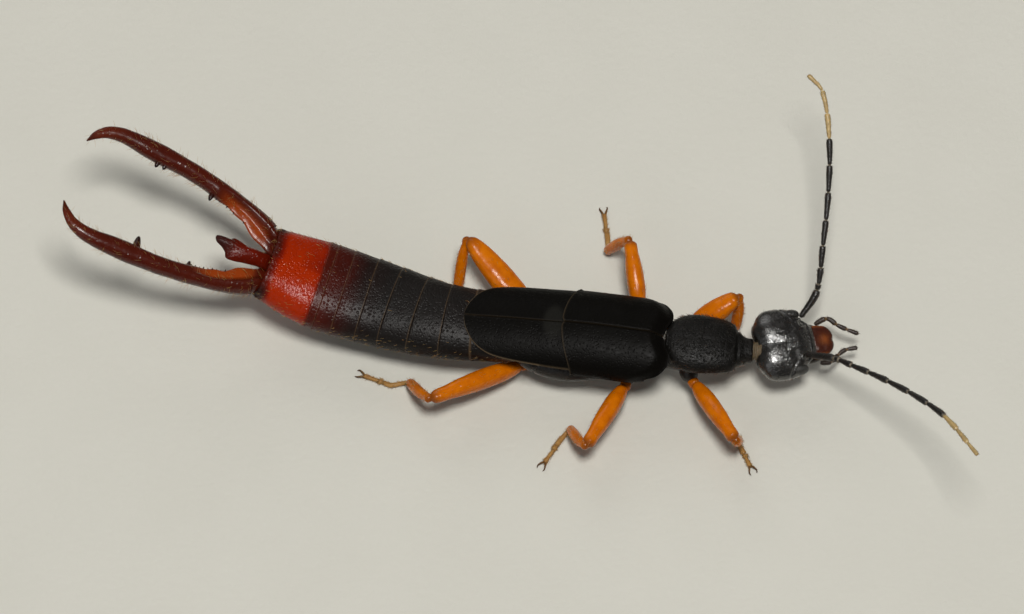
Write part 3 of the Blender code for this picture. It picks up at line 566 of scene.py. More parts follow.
class Shape:
    """Closed surfaces gathered into one mesh, with named values at their points."""

    def __init__(self, names=()):
        self.points = []
        self.faces = []
        self.names = names
        self.values = {name: [] for name in names}
        self.patches = []
        self.count = 0

    def add(self, points, faces, patch=None, **values):
        volume = 0.0
        for group in faces:
            corner = points[group[:, 0]] - points.mean(axis=0)
            for k in range(1, group.shape[1] - 1):
                b = points[group[:, k]] - points.mean(axis=0)
                c = points[group[:, k + 1]] - points.mean(axis=0)
                volume += (corner * np.cross(b, c)).sum()
        for group in faces:
            turned = group if volume >= 0 else group[:, ::-1]
            self.faces.append(turned + self.count)
        self.points.append(points)
        self.count += len(points)
        if patch is not None:
            self.patches.append(patch)
        for name in self.names:
            value = np.asarray(values.get(name, 0.0), float)
            if value.ndim:
                value = value.reshape(-1)
                value = np.concatenate([value, np.full(len(points) - len(value), value[-1])])
            else:
                value = np.full(len(points), float(value))
            self.values[name].append(value)

    def skin(self, rings, **values):
        self.add(*loft(rings), **values)

    def piece(self, name, made_of, nodes=()):
        mesh = bpy.data.meshes.new(name)
        points = to_world(np.concatenate(self.points))
        faces = [tuple(face) for group in self.faces for face in group.tolist()]
        mesh.from_pydata(points.tolist(), [], faces)
        for value in self.names:
            layer = mesh.attributes.new(value, "FLOAT", "POINT")
            layer.data.foreach_set("value", np.concatenate(self.values[value]).astype(np.float32))
        if self.patches:
            corners = np.empty(len(mesh.loops), np.int32)
            mesh.loops.foreach_get("vertex_index", corners)
            uv = np.concatenate(self.patches)[corners]
            layer = mesh.uv_layers.new(name="OFBake")
            layer.data.foreach_set("uv", uv.astype(np.float32).ravel())
        mesh.shade_smooth()
        mesh.materials.append(made_of)
        obj = bpy.data.objects.new(name, mesh)
        bpy.context.scene.collection.objects.link(obj)
        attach(obj, "root")
        if nodes:
            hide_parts(*nodes)


def loft(rings):
    """A skin over rings of equal count, closed by a fan at each end."""
    rows, cols, _ = rings.shape
    ends = [rings[0].mean(axis=0), rings[-1].mean(axis=0)]
    points = np.concatenate([rings.reshape(-1, 3), ends])
    index = np.arange(rows * cols).reshape(rows, cols)
    turned = np.roll(index, -1, axis=1)
    quads = np.stack([index[:-1], turned[:-1], turned[1:], index[1:]], axis=-1).reshape(-1, 4)
    start = np.full(cols, rows * cols)
    first = np.stack([turned[0], index[0], start], axis=-1)
    last = np.stack([index[-1], turned[-1], start + 1], axis=-1)
    return points, (quads, first, last)


def shell(outer, inner):
    """A thin closed shell between two sheets of points laid out alike."""
    rows, cols, _ = outer.shape
    points = np.concatenate([outer.reshape(-1, 3), inner.reshape(-1, 3)])
    top = np.arange(rows * cols).reshape(rows, cols)
    low = top + rows * cols

    def quads(index):
        return np.stack([index[:-1, :-1], index[:-1, 1:], index[1:, 1:], index[1:, :-1]], -1)

    rim = np.concatenate([top[0, :-1], top[:-1, -1], top[-1, :0:-1], top[:0:-1, 0]])
    under = rim + rows * cols
    walls = np.stack([np.roll(rim, -1), rim, under, np.roll(under, -1)], axis=-1)
    return points, (quads(top).reshape(-1, 4), quads(low).reshape(-1, 4)[:, ::-1], walls)


def head_matrix():
    turn = Matrix.Rotation(math.radians(HEAD_TURN_DEG), 4, "Z")
    dip = Matrix.Rotation(math.radians(HEAD_DIP_DEG), 4, "Y")
    roll = Matrix.Rotation(math.radians(HEAD_ROLL_DEG), 4, "X")
    return Matrix.Translation(HEAD_AT) @ turn @ dip @ roll


def tail_matrix():
    turn = math.radians(TAIL_TURN_DEG)
    rise = math.radians(TAIL_RISE_DEG)
    flat = math.cos(rise)
    back = Vector((-math.cos(turn) * flat, math.sin(turn) * flat, math.sin(rise)))
    left = Vector((math.sin(turn), math.cos(turn), 0))
    up = left.cross(back)
    if up.z < 0:
        up.negate()
    matrix = Matrix((back, left, up)).transposed().to_4x4()
    matrix.translation = Vector(TAIL_AT)
    return matrix


def carried(matrix, points):
    m = np.array(matrix)
    return points @ m[:3, :3].T + m[:3, 3]


def frame_offset():
    """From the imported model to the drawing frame, in millimetres, by way of an eye."""
    low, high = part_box("eye_left")
    middle = (np.array(low) + np.array(high)) / 2 / MM
    return carried(head_matrix(), np.array([EYE_AT]))[0] - middle


OFFSET = frame_offset()


def to_world(points):
    return (points - OFFSET) * MM


def settled(point, height):
    """The point lowered to a height, with its place in the picture kept."""
    x, y, z = point
    return (x, y + VIEW_SLOPE * (z - height), height)


def tube(path, profile, up_hint, sides=20, steps=60, square=2.0, round_ends=True):
    """Rings of a limb along a smooth path; profile rows are place, width, height."""
    path = np.array(path, float)
    lengths = np.concatenate([[0.0], np.cumsum(np.linalg.norm(np.diff(path, axis=0), axis=1))])
    rows = np.column_stack([lengths / lengths[-1], path])
    place = eased(steps) if round_ends else np.linspace(0.0, 1.0, steps)
    at = table(rows, place)
    forward = unit(np.gradient(at, axis=0))
    side = unit(np.cross(np.array(up_hint, float), forward))
    up = np.cross(forward, side)
    width, height = table(profile, place).T / 2
    if round_ends:
        cap = max(0.5 * (width[0] + height[0]), 0.02) / lengths[-1]
        near = np.minimum(place, 1 - place) / max(cap, 1e-6)
        closing = np.sqrt(np.clip(1 - (1 - np.minimum(near, 1.0)) ** 2, 0.02**2, 1.0))
        width = width * closing
        height = height * closing
    across, lift = oval(around(sides), width, height, height, square)
    rings = at[:, None] + side[:, None] * across[..., None] + up[:, None] * lift[..., None]
    return rings, place


def per_ring(value, rings):
    """A value of each ring, held within 0 and 1, for each of the ring's points."""
    return np.repeat(np.clip(value, 0, 1), rings.shape[1])


def raised(rings, amount):
    return rings + ring_normals(rings) * amount[..., None]


def new_material(name, roughness, coat=0.0, skin_depth=0.0, skin_share=0.0, specular=0.5):
    """An empty finish with its all-over numbers set on the shader itself."""
    made = bpy.data.materials.new(name)
    made.use_nodes = True
    shader = made.node_tree.nodes["Principled BSDF"]
    shader.inputs["Roughness"].default_value = roughness
    shader.inputs["Coat Weight"].default_value = coat
    shader.inputs["Coat Roughness"].default_value = 0.12
    shader.inputs["Specular IOR Level"].default_value = specular
    if skin_share:
        shader.inputs["Subsurface Weight"].default_value = skin_share
        shader.inputs["Subsurface Radius"].default_value = (1.0, 0.35, 0.15)
        shader.inputs["Subsurface Scale"].default_value = skin_depth * MM
    return made


def node(made, kind, **settings):
    new = made.node_tree.nodes.new(kind)
    for key, value in settings.items():
        setattr(new, key, value)
    return new


def join(made, start, end):
    made.node_tree.links.new(start, end)


def noise(made, size, detail=4.0, rough=0.55):
    """Noise whose features are about as wide as size, in millimetres."""
    place = node(made, "ShaderNodeTexCoord")
    texture = node(made, "ShaderNodeTexNoise")
    texture.inputs["Scale"].default_value = 1.0 / (size * MM)
    texture.inputs["Detail"].default_value = detail
    texture.inputs["Roughness"].default_value = rough
    join(made, place.outputs["Object"], texture.inputs["Vector"])
    return texture.outputs["Fac"]


def cells(made, size, feature="F1"):
    place = node(made, "ShaderNodeTexCoord")
    texture = node(made, "ShaderNodeTexVoronoi", feature=feature)
    texture.inputs["Scale"].default_value = 1.0 / (size * MM)
    join(made, place.outputs["Object"], texture.inputs["Vector"])
    return texture.outputs["Distance"]


def named_value(made, name):
    return node(made, "ShaderNodeAttribute", attribute_name=name).outputs["Fac"]


def ramp(made, source, stops):
    """A run of colours, or greys for single numbers, along a value."""
    new = node(made, "ShaderNodeValToRGB")
    band = new.color_ramp
    while len(band.elements) < len(stops):
        band.elements.new(0.5)
    for element, (place, colour) in zip(band.elements, stops):
        element.position = place
        colour = (colour,) * 3 if isinstance(colour, float) else colour
        element.color = (*colour, 1.0)
    join(made, source, new.inputs["Fac"])
    return new.outputs["Color"]


def mixed(made, share, first, second):
    """Mix two colours, each an output or three numbers, by an output or a number."""
    new = node(made, "ShaderNodeMix", data_type="RGBA")
    for source, socket in ((share, new.inputs[0]), (first, new.inputs[6]), (second, new.inputs[7])):
        if isinstance(source, (tuple, float)):
            socket.default_value = (*source, 1.0) if isinstance(source, tuple) else source
        else:
            join(made, source, socket)
    return new.outputs[2]


def tinted(made, colour, name, tint):
    """The colour, with a tint where the mesh's named value asks for it."""
    return mixed(made, named_value(made, name), colour, tint)


def uneven(made, size, low, high):
    """A roughness that wanders between two values over about the size."""
    return ramp(made, noise(made, size), ((0.3, low), (0.7, high)))


def pitted(made, size, low, high):
    """Pits about as far apart as size, with their floors and rims at two distances."""
    return ramp(made, cells(made, size), ((low, 0.0), (high, 1.0)))


def reckon(made, operation, *sources):
    new = node(made, "ShaderNodeMath", operation=operation)
    for source, socket in zip(sources, new.inputs):
        if isinstance(source, float):
            socket.default_value = source
        else:
            join(made, source, socket)
    return new.outputs[0]


def finish_with(made, colour, roughness=None, bumps=()):
    """Wire the colour, the roughness and bumps of (height, depth in mm) to the shader."""
    shader = made.node_tree.nodes["Principled BSDF"]
    join(made, colour, shader.inputs["Base Color"])
    if roughness is not None:
        join(made, roughness, shader.inputs["Roughness"])
    normal = None
    for height, depth in bumps:
        bump = node(made, "ShaderNodeBump")
        bump.inputs["Strength"].default_value = 1.0
        bump.inputs["Distance"].default_value = depth * MM
        join(made, height, bump.inputs["Height"])
        if normal is not None:
            join(made, normal, bump.inputs["Normal"])
        normal = bump.outputs["Normal"]
    if normal is not None:
        join(made, normal, shader.inputs["Normal"])
        join(made, normal, shader.inputs["Coat Normal"])
    return made


def black_cuticle(name, dark, brown, roughness, grain, depth, coat=0.05, specular=0.34):
    made = new_material(name, roughness, coat, specular=specular)
    cloud = noise(made, 0.35, 3.0)
    colour = mixed(made, ramp(made, cloud, ((0.35, 0.0), (0.75, 1.0))), dark, brown)
    gloss = uneven(made, 0.12, roughness - 0.08, roughness + 0.12)
    pits = pitted(made, grain, 0.10, 0.45)
    fine = noise(made, grain * 0.6, 3.0, 0.5)
    return finish_with(made, colour, gloss, ((fine, depth), (pits, depth * 0.8)))


def body_finish():
    """Black in front, through deep red, to the glossy orange-red last ring."""
    made = new_material("body", 0.3, 0.0, specular=0.17)
    red = named_value(made, "red")
    stops = (
        (0.0, (0.0060, 0.0052, 0.0046)),
        (0.30, (0.0110, 0.0050, 0.0040)),
        (0.48, (0.0240, 0.0042, 0.0028)),
        (0.68, (0.0640, 0.0052, 0.0016)),
        (0.86, (0.1800, 0.0070, 0.0002)),
        (1.0, (0.3300, 0.0190, 0.0002)),
    )
    cloud = noise(made, 0.45, 4.0)
    shifted = reckon(made, "ADD", red, reckon(made, "MULTIPLY", reckon(made, "SUBTRACT", cloud, 0.5), 0.16))
    colour = ramp(made, shifted, stops)
    # The pale tint is a painted highlight along the side fold and along the tergites' hind edges
    colour = tinted(made, colour, "pale", (0.26, 0.16, 0.08))
    gloss = ramp(made, red, ((0.0, 0.40), (0.6, 0.30), (1.0, 0.13)))
    pits = pitted(made, 0.085, 0.10, 0.45)
    fine = noise(made, 0.045, 3.0, 0.5)
    return finish_with(made, colour, gloss, ((fine, 0.009), (pits, 0.010)))


def wing_finish():
    """Satin black with fine punctures, a grey patch and a thin pale rim, which on the fore wings' hind
    edges is a painted highlight.
    """
    made = new_material("wing", 0.46, 0.0, specular=0.05)
    colour = mixed(made, noise(made, 0.5, 3.0), (0.0020, 0.0018, 0.0014), (0.0036, 0.0030, 0.0024))
    colour = tinted(made, colour, "window", (0.010, 0.0095, 0.0080))
    # The rim tint is partly a painted highlight, on the fore wings' hind edges
    colour = tinted(made, colour, "rim", (0.120, 0.085, 0.050))
    gloss = uneven(made, 0.10, 0.34, 0.50)
    pits = pitted(made, 0.075, 0.10, 0.40)
    fine = noise(made, 0.04, 4.0, 0.6)
    return finish_with(made, colour, gloss, ((fine, 0.002), (pits, 0.005)))


def forceps_finish():
    made = new_material("forceps", 0.24, 0.10, specular=0.26)
    colour = mixed(made, noise(made, 0.5, 4.0), (0.042, 0.0042, 0.0014), (0.085, 0.0086, 0.0024))
    colour = tinted(made, colour, "tip", (0.110, 0.016, 0.005))
    colour = tinted(made, colour, "blade", (0.260, 0.038, 0.003))
    colour = tinted(made, colour, "dark", (0.008, 0.004, 0.003))
    gloss = uneven(made, 0.15, 0.18, 0.32)
    fine = noise(made, 0.06, 5.0, 0.6)
    pits = pitted(made, 0.13, 0.08, 0.30)
    return finish_with(made, colour, gloss, ((fine, 0.004), (pits, 0.005)))


def leg_finish(name, light, deep, joint, roughness=0.20):
    made = new_material(name, roughness, 0.10, specular=0.16)
    cloud = noise(made, 0.30, 4.0)
    colour = mixed(made, ramp(made, cloud, ((0.30, 0.0), (0.70, 1.0))), light, deep)
    colour = tinted(made, colour, "joint", joint)
    colour = tinted(made, colour, "dark", (0.030, 0.012, 0.006))
    gloss = uneven(made, 0.14, roughness - 0.06, roughness + 0.10)
    fine = noise(made, 0.05, 5.0, 0.6)
    pits = pitted(made, 0.11, 0.06, 0.28)
    return finish_with(made, colour, gloss, ((fine, 0.003), (pits, 0.004)))


def ringed_finish(name, base, ring, roughness=0.36):
    """A jointed feeler's finish: one colour, with paler rings where it bends."""
    made = new_material(name, roughness, 0.1, 0.08, 0.08)
    cloud = noise(made, 0.14, 4.0)
    deep = tuple(0.62 * part for part in base)
    colour = mixed(made, ramp(made, cloud, ((0.30, 0.0), (0.70, 1.0))), base, deep)
    colour = tinted(made, colour, "ring", ring)
    gloss = uneven(made, 0.08, roughness - 0.06, roughness + 0.12)
    fine = noise(made, 0.035, 5.0, 0.6)
    return finish_with(made, colour, gloss, ((fine, 0.008),))


def membrane_finish():
    made = new_material("membrane", 0.5, 0.0, 0.1, 0.2)
    colour = mixed(made, noise(made, 0.12, 4.0), (0.070, 0.046, 0.024), (0.160, 0.118, 0.066))
    return finish_with(made, colour, None, ((noise(made, 0.06, 4.0), 0.02),))


def labrum_finish():
    made = new_material("labrum", 0.26, 0.3, 0.12, 0.2)
    colour = mixed(made, noise(made, 0.16, 4.0), (0.030, 0.0050, 0.0016), (0.062, 0.0100, 0.0026))
    colour = tinted(made, colour, "pale", (0.200, 0.050, 0.008))
    return finish_with(made, colour, None, ((noise(made, 0.05, 5.0), 0.008),))


def eye_finish():
    made = new_material("eye", 0.34, 0.25)
    colour = mixed(made, noise(made, 0.18, 3.0), (0.0075, 0.0070, 0.0062), (0.0190, 0.0175, 0.0150))
    facets = ramp(made, cells(made, 0.026), ((0.0, 1.0), (0.62, 0.0)))
    return finish_with(made, colour, None, ((facets, 0.010),))


def hair_finish(name, pale, deep):
    made = new_material(name, 0.38, 0.0, 0.05, 0.2)
    colour = mixed(made, noise(made, 0.25, 2.0), pale, deep)
    return finish_with(made, colour, None, ((noise(made, 0.03, 2.0), 0.002),))


FINISH = {
    "body": body_finish(),
    "head": black_cuticle(
        "head", (0.0050, 0.0046, 0.0040), (0.0090, 0.0074, 0.0058),
        roughness=0.25, grain=0.055, depth=0.004, coat=0.5, specular=1.0,
    ),
    "pronotum": black_cuticle(
        "pronotum", (0.0034, 0.0031, 0.0026), (0.0060, 0.0052, 0.0042),
        roughness=0.34, grain=0.070, depth=0.016, coat=0.0, specular=0.17,
    ),
    "underside": black_cuticle(
        "underside", (0.0075, 0.0062, 0.0050), (0.0170, 0.0115, 0.0080),
        roughness=0.34, grain=0.080, depth=0.008,
    ),
    "wing": wing_finish(),
    "forceps": forceps_finish(),
    "leg": leg_finish("leg", (0.640, 0.165, 0.0004), (0.480, 0.105, 0.0004), (0.230, 0.056, 0.004)),
    "foot": leg_finish("foot", (0.440, 0.250, 0.080), (0.280, 0.130, 0.034), (0.120, 0.050, 0.014), 0.4),
    "antenna": ringed_finish("antenna", (0.0080, 0.0062, 0.0048), (0.150, 0.120, 0.080)),
    "antenna_tip": ringed_finish("antenna_tip", (0.560, 0.390, 0.160), (0.600, 0.470, 0.260), 0.34),
    "palp": ringed_finish("palp", (0.026, 0.012, 0.005), (0.160, 0.090, 0.036)),
    "membrane": membrane_finish(),
    "labrum": labrum_finish(),
    "eye": eye_finish(),
    "gold_hair": hair_finish("gold_hair", (0.560, 0.340, 0.120), (0.300, 0.150, 0.045)),
    "dark_hair": hair_finish("dark_hair", (0.060, 0.040, 0.024), (0.024, 0.016, 0.010)),
}


def tergite_line():
    """Places and heights of the body's rings along the spine, with each rear lip folded."""
    xs = [TERGITE_EDGES[0] + RIM_RECESS] * 2
    xs += [TERGITE_EDGES[0] + 0.5 * RIM_RECESS, TERGITE_EDGES[0] + 0.04, TERGITE_EDGES[0]]
    lifts = list(RIM_LIFTS)
    fold_steps = (LIP_OVERHANG, 0.3 * LIP_OVERHANG, -0.7 * LIP_REACH)
    fold_lifts = [-TERGITE_TUCK, -0.4 * TERGITE_TUCK, 0.1 * TERGITE_LIP]
    for rear, front in zip(TERGITE_EDGES, TERGITE_EDGES[1:]):
        length = front - rear
        if rear > TERGITE_EDGES[0]:
            xs += [rear + step for step in fold_steps]
            lifts += fold_lifts
        count = 5 + int(length / 0.05)
        for k in range(count):
            u = k / (count - 1)
            shape = TERGITE_LIP * (1 - u) ** 1.4 * (1 - 0.55 * math.exp(-u * length / 0.018))
            xs.append(rear - LIP_REACH * math.exp(-u * length / 0.02) + u * length)
            lifts.append(shape - TERGITE_TUCK * u**3)
    rear = TERGITE_EDGES[-1]
    xs += [rear + step for step in fold_steps]
    lifts += fold_lifts
    for u in np.linspace(0.0, 1.0, 36):
        xs.append(rear + u * (ABDOMEN[-1][0] - rear))
        lifts.append(TERGITE_LIP * (1 - u) ** 6)
    return np.array(xs), np.array(lifts)


def last_ring_share(x):
    """1 on the last ring, falling to 0 in front of its front border."""
    return smooth((TERGITE_EDGES[1] + 0.06 - x) / 0.08)


def build_body():
    xs, lifts = tergite_line()
    angles = around(dense(260))
    half_width, rise, drop = table(ABDOMEN, xs).T
    side, height = oval(angles, half_width + lifts, rise + lifts, drop + lifts, BODY_SQUARE)
    rings = spine_rings(xs, side, height)
    turn = np.degrees(angles)
    off = np.minimum(abs(turn - (360 + SIDE_FOLD_DEG)), abs(turn - (180 - SIDE_FOLD_DEG)))
    fold = bell(off, 2.2)[None, :] * np.ones((len(xs), 1))
    x = np.repeat(xs[:, None], len(angles), axis=1)
    last = last_ring_share(x)
    amount = -0.035 * fold
    amount += 0.006 * lumps(rings, 0.30, 3) + 0.002 * lumps(rings, 0.10, 4)
    amount += dents(rings, 0.085, 0.0015, 5) * (1 - 0.5 * last)
    held = np.maximum(xs, TERGITE_EDGES[0])
    behind = np.array([max(e for e in TERGITE_EDGES if e <= v + 1e-6) for v in held])
    beads = smooth(1 - nearest_dot(rings, BEAD_SPACING, 8) / 0.62)
    row = bell(xs - behind - 0.05, 0.045)[:, None]
    amount += beads * row * np.where(x < TERGITE_EDGES[1] - 0.2, 0.036, 0.016)
    rear_zone = smooth((TERGITE_EDGES[0] + 0.26 - x) / 0.16) * (x > TERGITE_EDGES[0] - 0.03)
    amount += 0.022 * beads * rear_zone
    rings = raised(rings, amount)
    red = np.interp(x, *LAST_RING_RED) * last
    red += (1 - last) * np.interp(x, *ABDOMEN_RED)
    red -= 0.34 * last * smooth((TERGITE_EDGES[0] + 0.32 - x) / 0.30)
    corner = bell(np.abs(side) / half_width[:, None] - 1.0, 0.16)
    red -= 0.30 * last * corner * smooth((TERGITE_EDGES[0] + 0.45 - x) / 0.4)
    # Painted highlight: the last ring's right side, which faces the camera and the key light, is painted a
    # little brighter red
    red += 0.06 * last * (side < 0)
    shape = Shape(("red", "pale"))
    # Painted highlight: a pale line along the side fold, and a fainter one along each tergite's hind edge
    edge = bell(xs - behind, HIND_EDGE)[:, None] * (1 - last)
    shape.skin(rings, red=red, pale=np.maximum(0.7 * fold * (x > -1.9), 0.30 * edge))
    nodes = ("abdomen_front", "abdomen_rear", "last_tergite")
    shape.piece("body_skin", FINISH["body"], nodes)
    return rings, side


def wing_points(x, across, half_width, rise, end, left_side):
    """Points of the shell over the back: across runs from the suture to the end angle."""
    start = np.arccos(SUTURE_HALF_GAP / half_width)
    angle = start + (end - start) * across
    side = half_width * np.cos(angle)
    height = rise * np.sin(angle)
    flat = x.reshape(-1)
    at, _, left, up = spine_frames(flat)
    sign = 1 if left_side else -1
    points = at + left * (sign * side.reshape(-1, 1)) + up * height.reshape(-1, 1)
    return points.reshape(*x.shape, 3), side


def border_sink(rows, cols, reach, thickness):
    """How far a shell's outer face drops towards its borders, to round them."""
    a = np.minimum(np.arange(rows), np.arange(rows)[::-1])[:, None] / (reach * rows)
    b = np.minimum(np.arange(cols), np.arange(cols)[::-1])[None, :] / (reach * cols)
    near = np.clip(np.minimum(a, b), 0.0, 1.0)
    return thickness * 0.46 * (1 - np.sqrt(1 - (1 - near) ** 2))


def thin_shell(outer, thickness, amount, reach=0.025):
    normal = sheet_normals(outer)
    middle = outer.reshape(-1, 3).mean(axis=0) - np.array([0.0, 0.0, 3.0])
    if (normal * (outer - middle)).sum() < 0:
        normal = -normal
    sink = border_sink(*outer.shape[:2], reach, thickness)
    top = outer + normal * (amount - sink)[..., None]
    low = outer - normal * (thickness - sink)[..., None]
    return top, low


def build_elytron(side_name):
    left_side = side_name == "left"
    rows = dense(150)
    cols = dense(190)
    across = np.linspace(0.0, 1.0, rows)[:, None] * np.ones((1, cols))
    along = eased(cols)[None, :] * np.ones((rows, 1))
    start = math.acos(SUTURE_HALF_GAP / SHELL_HALF_WIDTH)
    margin = math.radians(ELYTRON_MARGIN_DEG)
    angle = start + (margin - start) * across
    share = np.abs(np.cos(angle))
    rear = ELYTRON_REAR + ELYTRON_CURVE * share**2 + 0.05 * bell(share, 0.06)
    front = table(ELYTRON_FRONT, share.reshape(-1)).reshape(share.shape)
    front = front - 0.12 * smooth((across - 0.9) / 0.1)
    x = rear + (front - rear) * along
    slope = smooth(1 - (front - x) / FRONT_SLOPE)
    half_width = SHELL_HALF_WIDTH * (1 - 0.05 * slope)
    rise = SHELL_RISE * (1 - FRONT_DROP * slope**1.5)
    outer, side = wing_points(x, across, half_width, rise, margin, left_side)
    amount = 0.005 * lumps(outer, 0.45, 11) + 0.0015 * lumps(outer, 0.12, 12)
    amount += dents(outer, 0.095, 0.003, 13)
    amount += 0.004 * bell(side, 0.05)
    amount += 0.014 * bell(across - 0.97, 0.02)
    behind = bell(x - rear - 0.06, 0.05) * smooth((across - 0.35) / 0.3)
    amount += 0.030 * behind * smooth(1 - nearest_dot(outer, 0.10, 14) / 0.6)
    top, low = thin_shell(outer, ELYTRON_THICKNESS, amount)
    shape = Shape(("window", "rim"))
    # Pale rim: a painted highlight along the hind edge, and a thin pale line along the suture
    rim = 0.30 * bell(x - rear, 0.03) + 0.16 * bell(side, 0.022)
    points, faces = shell(top, low)
    shape.add(points, faces, rim=np.tile(rim.reshape(-1), 2))
    shape.piece("wing_case_" + side_name, FINISH["wing"], ("elytron_" + side_name,))


def build_wing_tip(side_name):
    left_side = side_name == "left"
    rows = dense(110)
    cols = dense(160)
    across = np.linspace(0.0, 1.0, rows)[:, None] * np.ones((1, cols))
    along = (np.linspace(0.0, 1.0, cols) ** 1.6)[None, :] * np.ones((rows, 1))
    x = SCALE_OUTLINE[0][0] + (SCALE_FRONT - SCALE_OUTLINE[0][0]) * along
    half_width = SHELL_HALF_WIDTH - 0.035
    reach = table(SCALE_OUTLINE, x[0])[:, 0]
    end = np.arccos(np.minimum(reach / half_width, 1.0))[None, :]
    outer, side = wing_points(x, across, half_width, SHELL_RISE - SCALE_SINK, end, left_side)
    amount = 0.004 * lumps(outer, 0.45, 21) + 0.0012 * lumps(outer, 0.10, 22)
    amount += dents(outer, 0.095, 0.004, 23)
    amount += 0.006 * bell(side, 0.045)
    top, low = thin_shell(outer, SCALE_THICKNESS, amount)
    patch = 1 - np.hypot((x - PATCH_AT[0]) / PATCH_REACH[0], (side - PATCH_AT[1]) / PATCH_REACH[1])
    rim = 0.8 * smooth((side - reach[None, :] + 0.05) / 0.04) + 0.25 * bell(side, 0.02)
    shape = Shape(("window", "rim"))
    values = {"window": smooth(patch * 2.2), "rim": np.clip(rim, 0, 1) * (1 - 0.5 * (x > 3.2))}
    values = {key: np.tile(v.reshape(-1), 2) for key, v in values.items()}
    points, faces = shell(top, low)
    shape.add(points, faces, **values)
    shape.piece("wing_tip_" + side_name, FINISH["wing"], ("wing_scale_" + side_name,))


def level_rings(rows, count, sides, square=2.2):
    """Rings across the spine whose middles lie at heights of their own."""
    xs = stations(rows, count)
    half_width, centre, rise, drop = table(rows, xs).T
    at, _, left, _ = spine_frames(xs)
    at[:, 2] = centre
    side, height = oval(around(sides), half_width, rise, drop, square)
    rings = at[:, None] + left[:, None] * side[..., None]
    rings[..., 2] += height
    return rings, xs, height


def build_thorax():
    shape = Shape()
    rings, xs, height = level_rings(THORAX, dense(150), dense(180))
    x = xs[:, None] * np.ones((1, rings.shape[1]))
    amount = 0.012 * lumps(rings, 0.35, 31) + dents(rings, 0.16, 0.012, 32)
    for line in THORAX_FOLDS:
        bend = 0.20 * height
        amount -= 0.045 * bell(x - line - bend, 0.035)
    amount -= 0.030 * bell(height + 0.18, 0.03) * (height < 0)
    shape.skin(raised(rings, amount))
    rings = level_rings(PROTHORAX, dense(90), dense(120))[0]
    amount = 0.012 * lumps(rings, 0.30, 33) + dents(rings, 0.15, 0.010, 34)
    shape.skin(raised(rings, amount))
    shape.piece("thorax_skin", FINISH["underside"], ("thorax", "prothorax"))


def build_pronotum():
    xs = stations(PRONOTUM, dense(190))
    half_width, rise, drop, lift = table(PRONOTUM, xs).T
    side, height = oval(around(dense(200)), half_width, rise, drop, 2.4)
    spread = height + lift[:, None]
    rings = spine_rings(xs, side, spread)
    x = xs[:, None] * np.ones_like(side)
    above = smooth(height / 0.12)
    share = np.abs(side) / half_width[:, None]
    plate = smooth((8.5 - x) / 0.15)
    amount = -0.014 * above * plate * bell(side, 0.028)
    amount -= 0.010 * above * bell(x - 7.62 - 0.25 * share**2, 0.09) * (share < 0.75)
    amount -= 0.050 * bell(x - 8.60, 0.06)
    amount += above * (0.006 * lumps(rings, 0.30, 41) + 0.002 * lumps(rings, 0.10, 42))
    amount += dents(rings, 0.085, 0.004, 44)
    rings = raised(rings, amount)
    shape = Shape()
    shape.skin(rings)
    shape.piece("pronotum_skin", FINISH["pronotum"], ("pronotum",))
    return rings


def build_neck():
    path = [spine_frames(x)[0][0] for x in np.linspace(*NECK_X, 5)]
    profile = scaled(NECK_PROFILE, 2 * NECK_RADIUS, 2 * NECK_RADIUS)
    rings, place = tube(path, profile, (0, 0, 1), dense(90), dense(80))
    amount = 0.018 * np.sin(place * 40)[:, None] + 0.014 * lumps(rings, 0.10, 51)
    shape = Shape()
    shape.skin(raised(rings, amount))
    shape.piece("neck_skin", FINISH["membrane"], ("neck",))


def groove(x, side, line):
    """Distance of each (x, side) point from a line of points."""
    best = np.full(x.shape, 9.0)
    for (x0, y0), (x1, y1) in zip(line, line[1:]):
        dx, dy = x1 - x0, y1 - y0
        t = np.clip(((x - x0) * dx + (side - y0) * dy) / (dx * dx + dy * dy), 0, 1)
        best = np.minimum(best, np.hypot(x - x0 - t * dx, side - y0 - t * dy))
    return best


def build_head():
    xs = stations(HEAD, dense(240))
    half_width, rise, drop = table(HEAD, xs).T
    side, height = oval(around(dense(280)), half_width, rise, drop, 2.2)
    fade = np.maximum(0.0, 1.0 - xs / LOBE_REACH)[:, None]
    lobe = 1.0 - bell(side, LOBE_WIDTH)
    x = xs[:, None] - LOBE_DEPTH * lobe * fade
    rings = np.stack([x, side, height], axis=-1)
    above = smooth(height / 0.14)
    amount = np.zeros_like(x)
    for line in SUTURES:
        amount -= SUTURE_DEPTH * above * bell(groove(x, side, line), SUTURE_WIDTH)
    for mirror in (1, -1):
        swell = spot(x - 0.22, 0.32, side - 0.50 * mirror, 0.32)
        amount += 0.032 * above * swell
        hollow = spot(x - 0.78, 0.12, side - 0.42 * mirror, 0.16)
        amount -= 0.030 * above * hollow
        socket = np.hypot(x - 1.14, side - 0.50 * mirror)
        amount += above * (0.020 * bell(socket - 0.15, 0.035) - 0.03 * (socket < 0.10))
        lid = np.sqrt(((x - EYE_AT[0]) / 0.30) ** 2 + ((height - EYE_AT[2]) / 0.26) ** 2)
        outside = smooth((side * mirror - 0.45) / 0.2)
        amount -= 0.02 * outside * bell(lid - 1.0, 0.10)
    amount += 0.030 * above * spot(x - 1.00, 0.16, side, 0.24)
    amount -= 0.020 * above * bell(x - 1.27, 0.025) * (np.abs(side) < 0.5)
    amount -= 0.028 * above * spot(x - 0.25, 0.35, side, 0.10)
    wrinkle = 0.003 * lumps(rings * [1.0, 2.2, 1.0], 0.14, 61) + 0.001 * lumps(rings, 0.07, 62)
    amount += wrinkle + dents(rings, 0.10, 0.002, 63)
    local = raised(rings, amount)
    rings = carried(head_matrix(), local)
    shape = Shape()
    shape.skin(rings)
    shape.piece("head_skin", FINISH["head"], ("head",))
    return rings


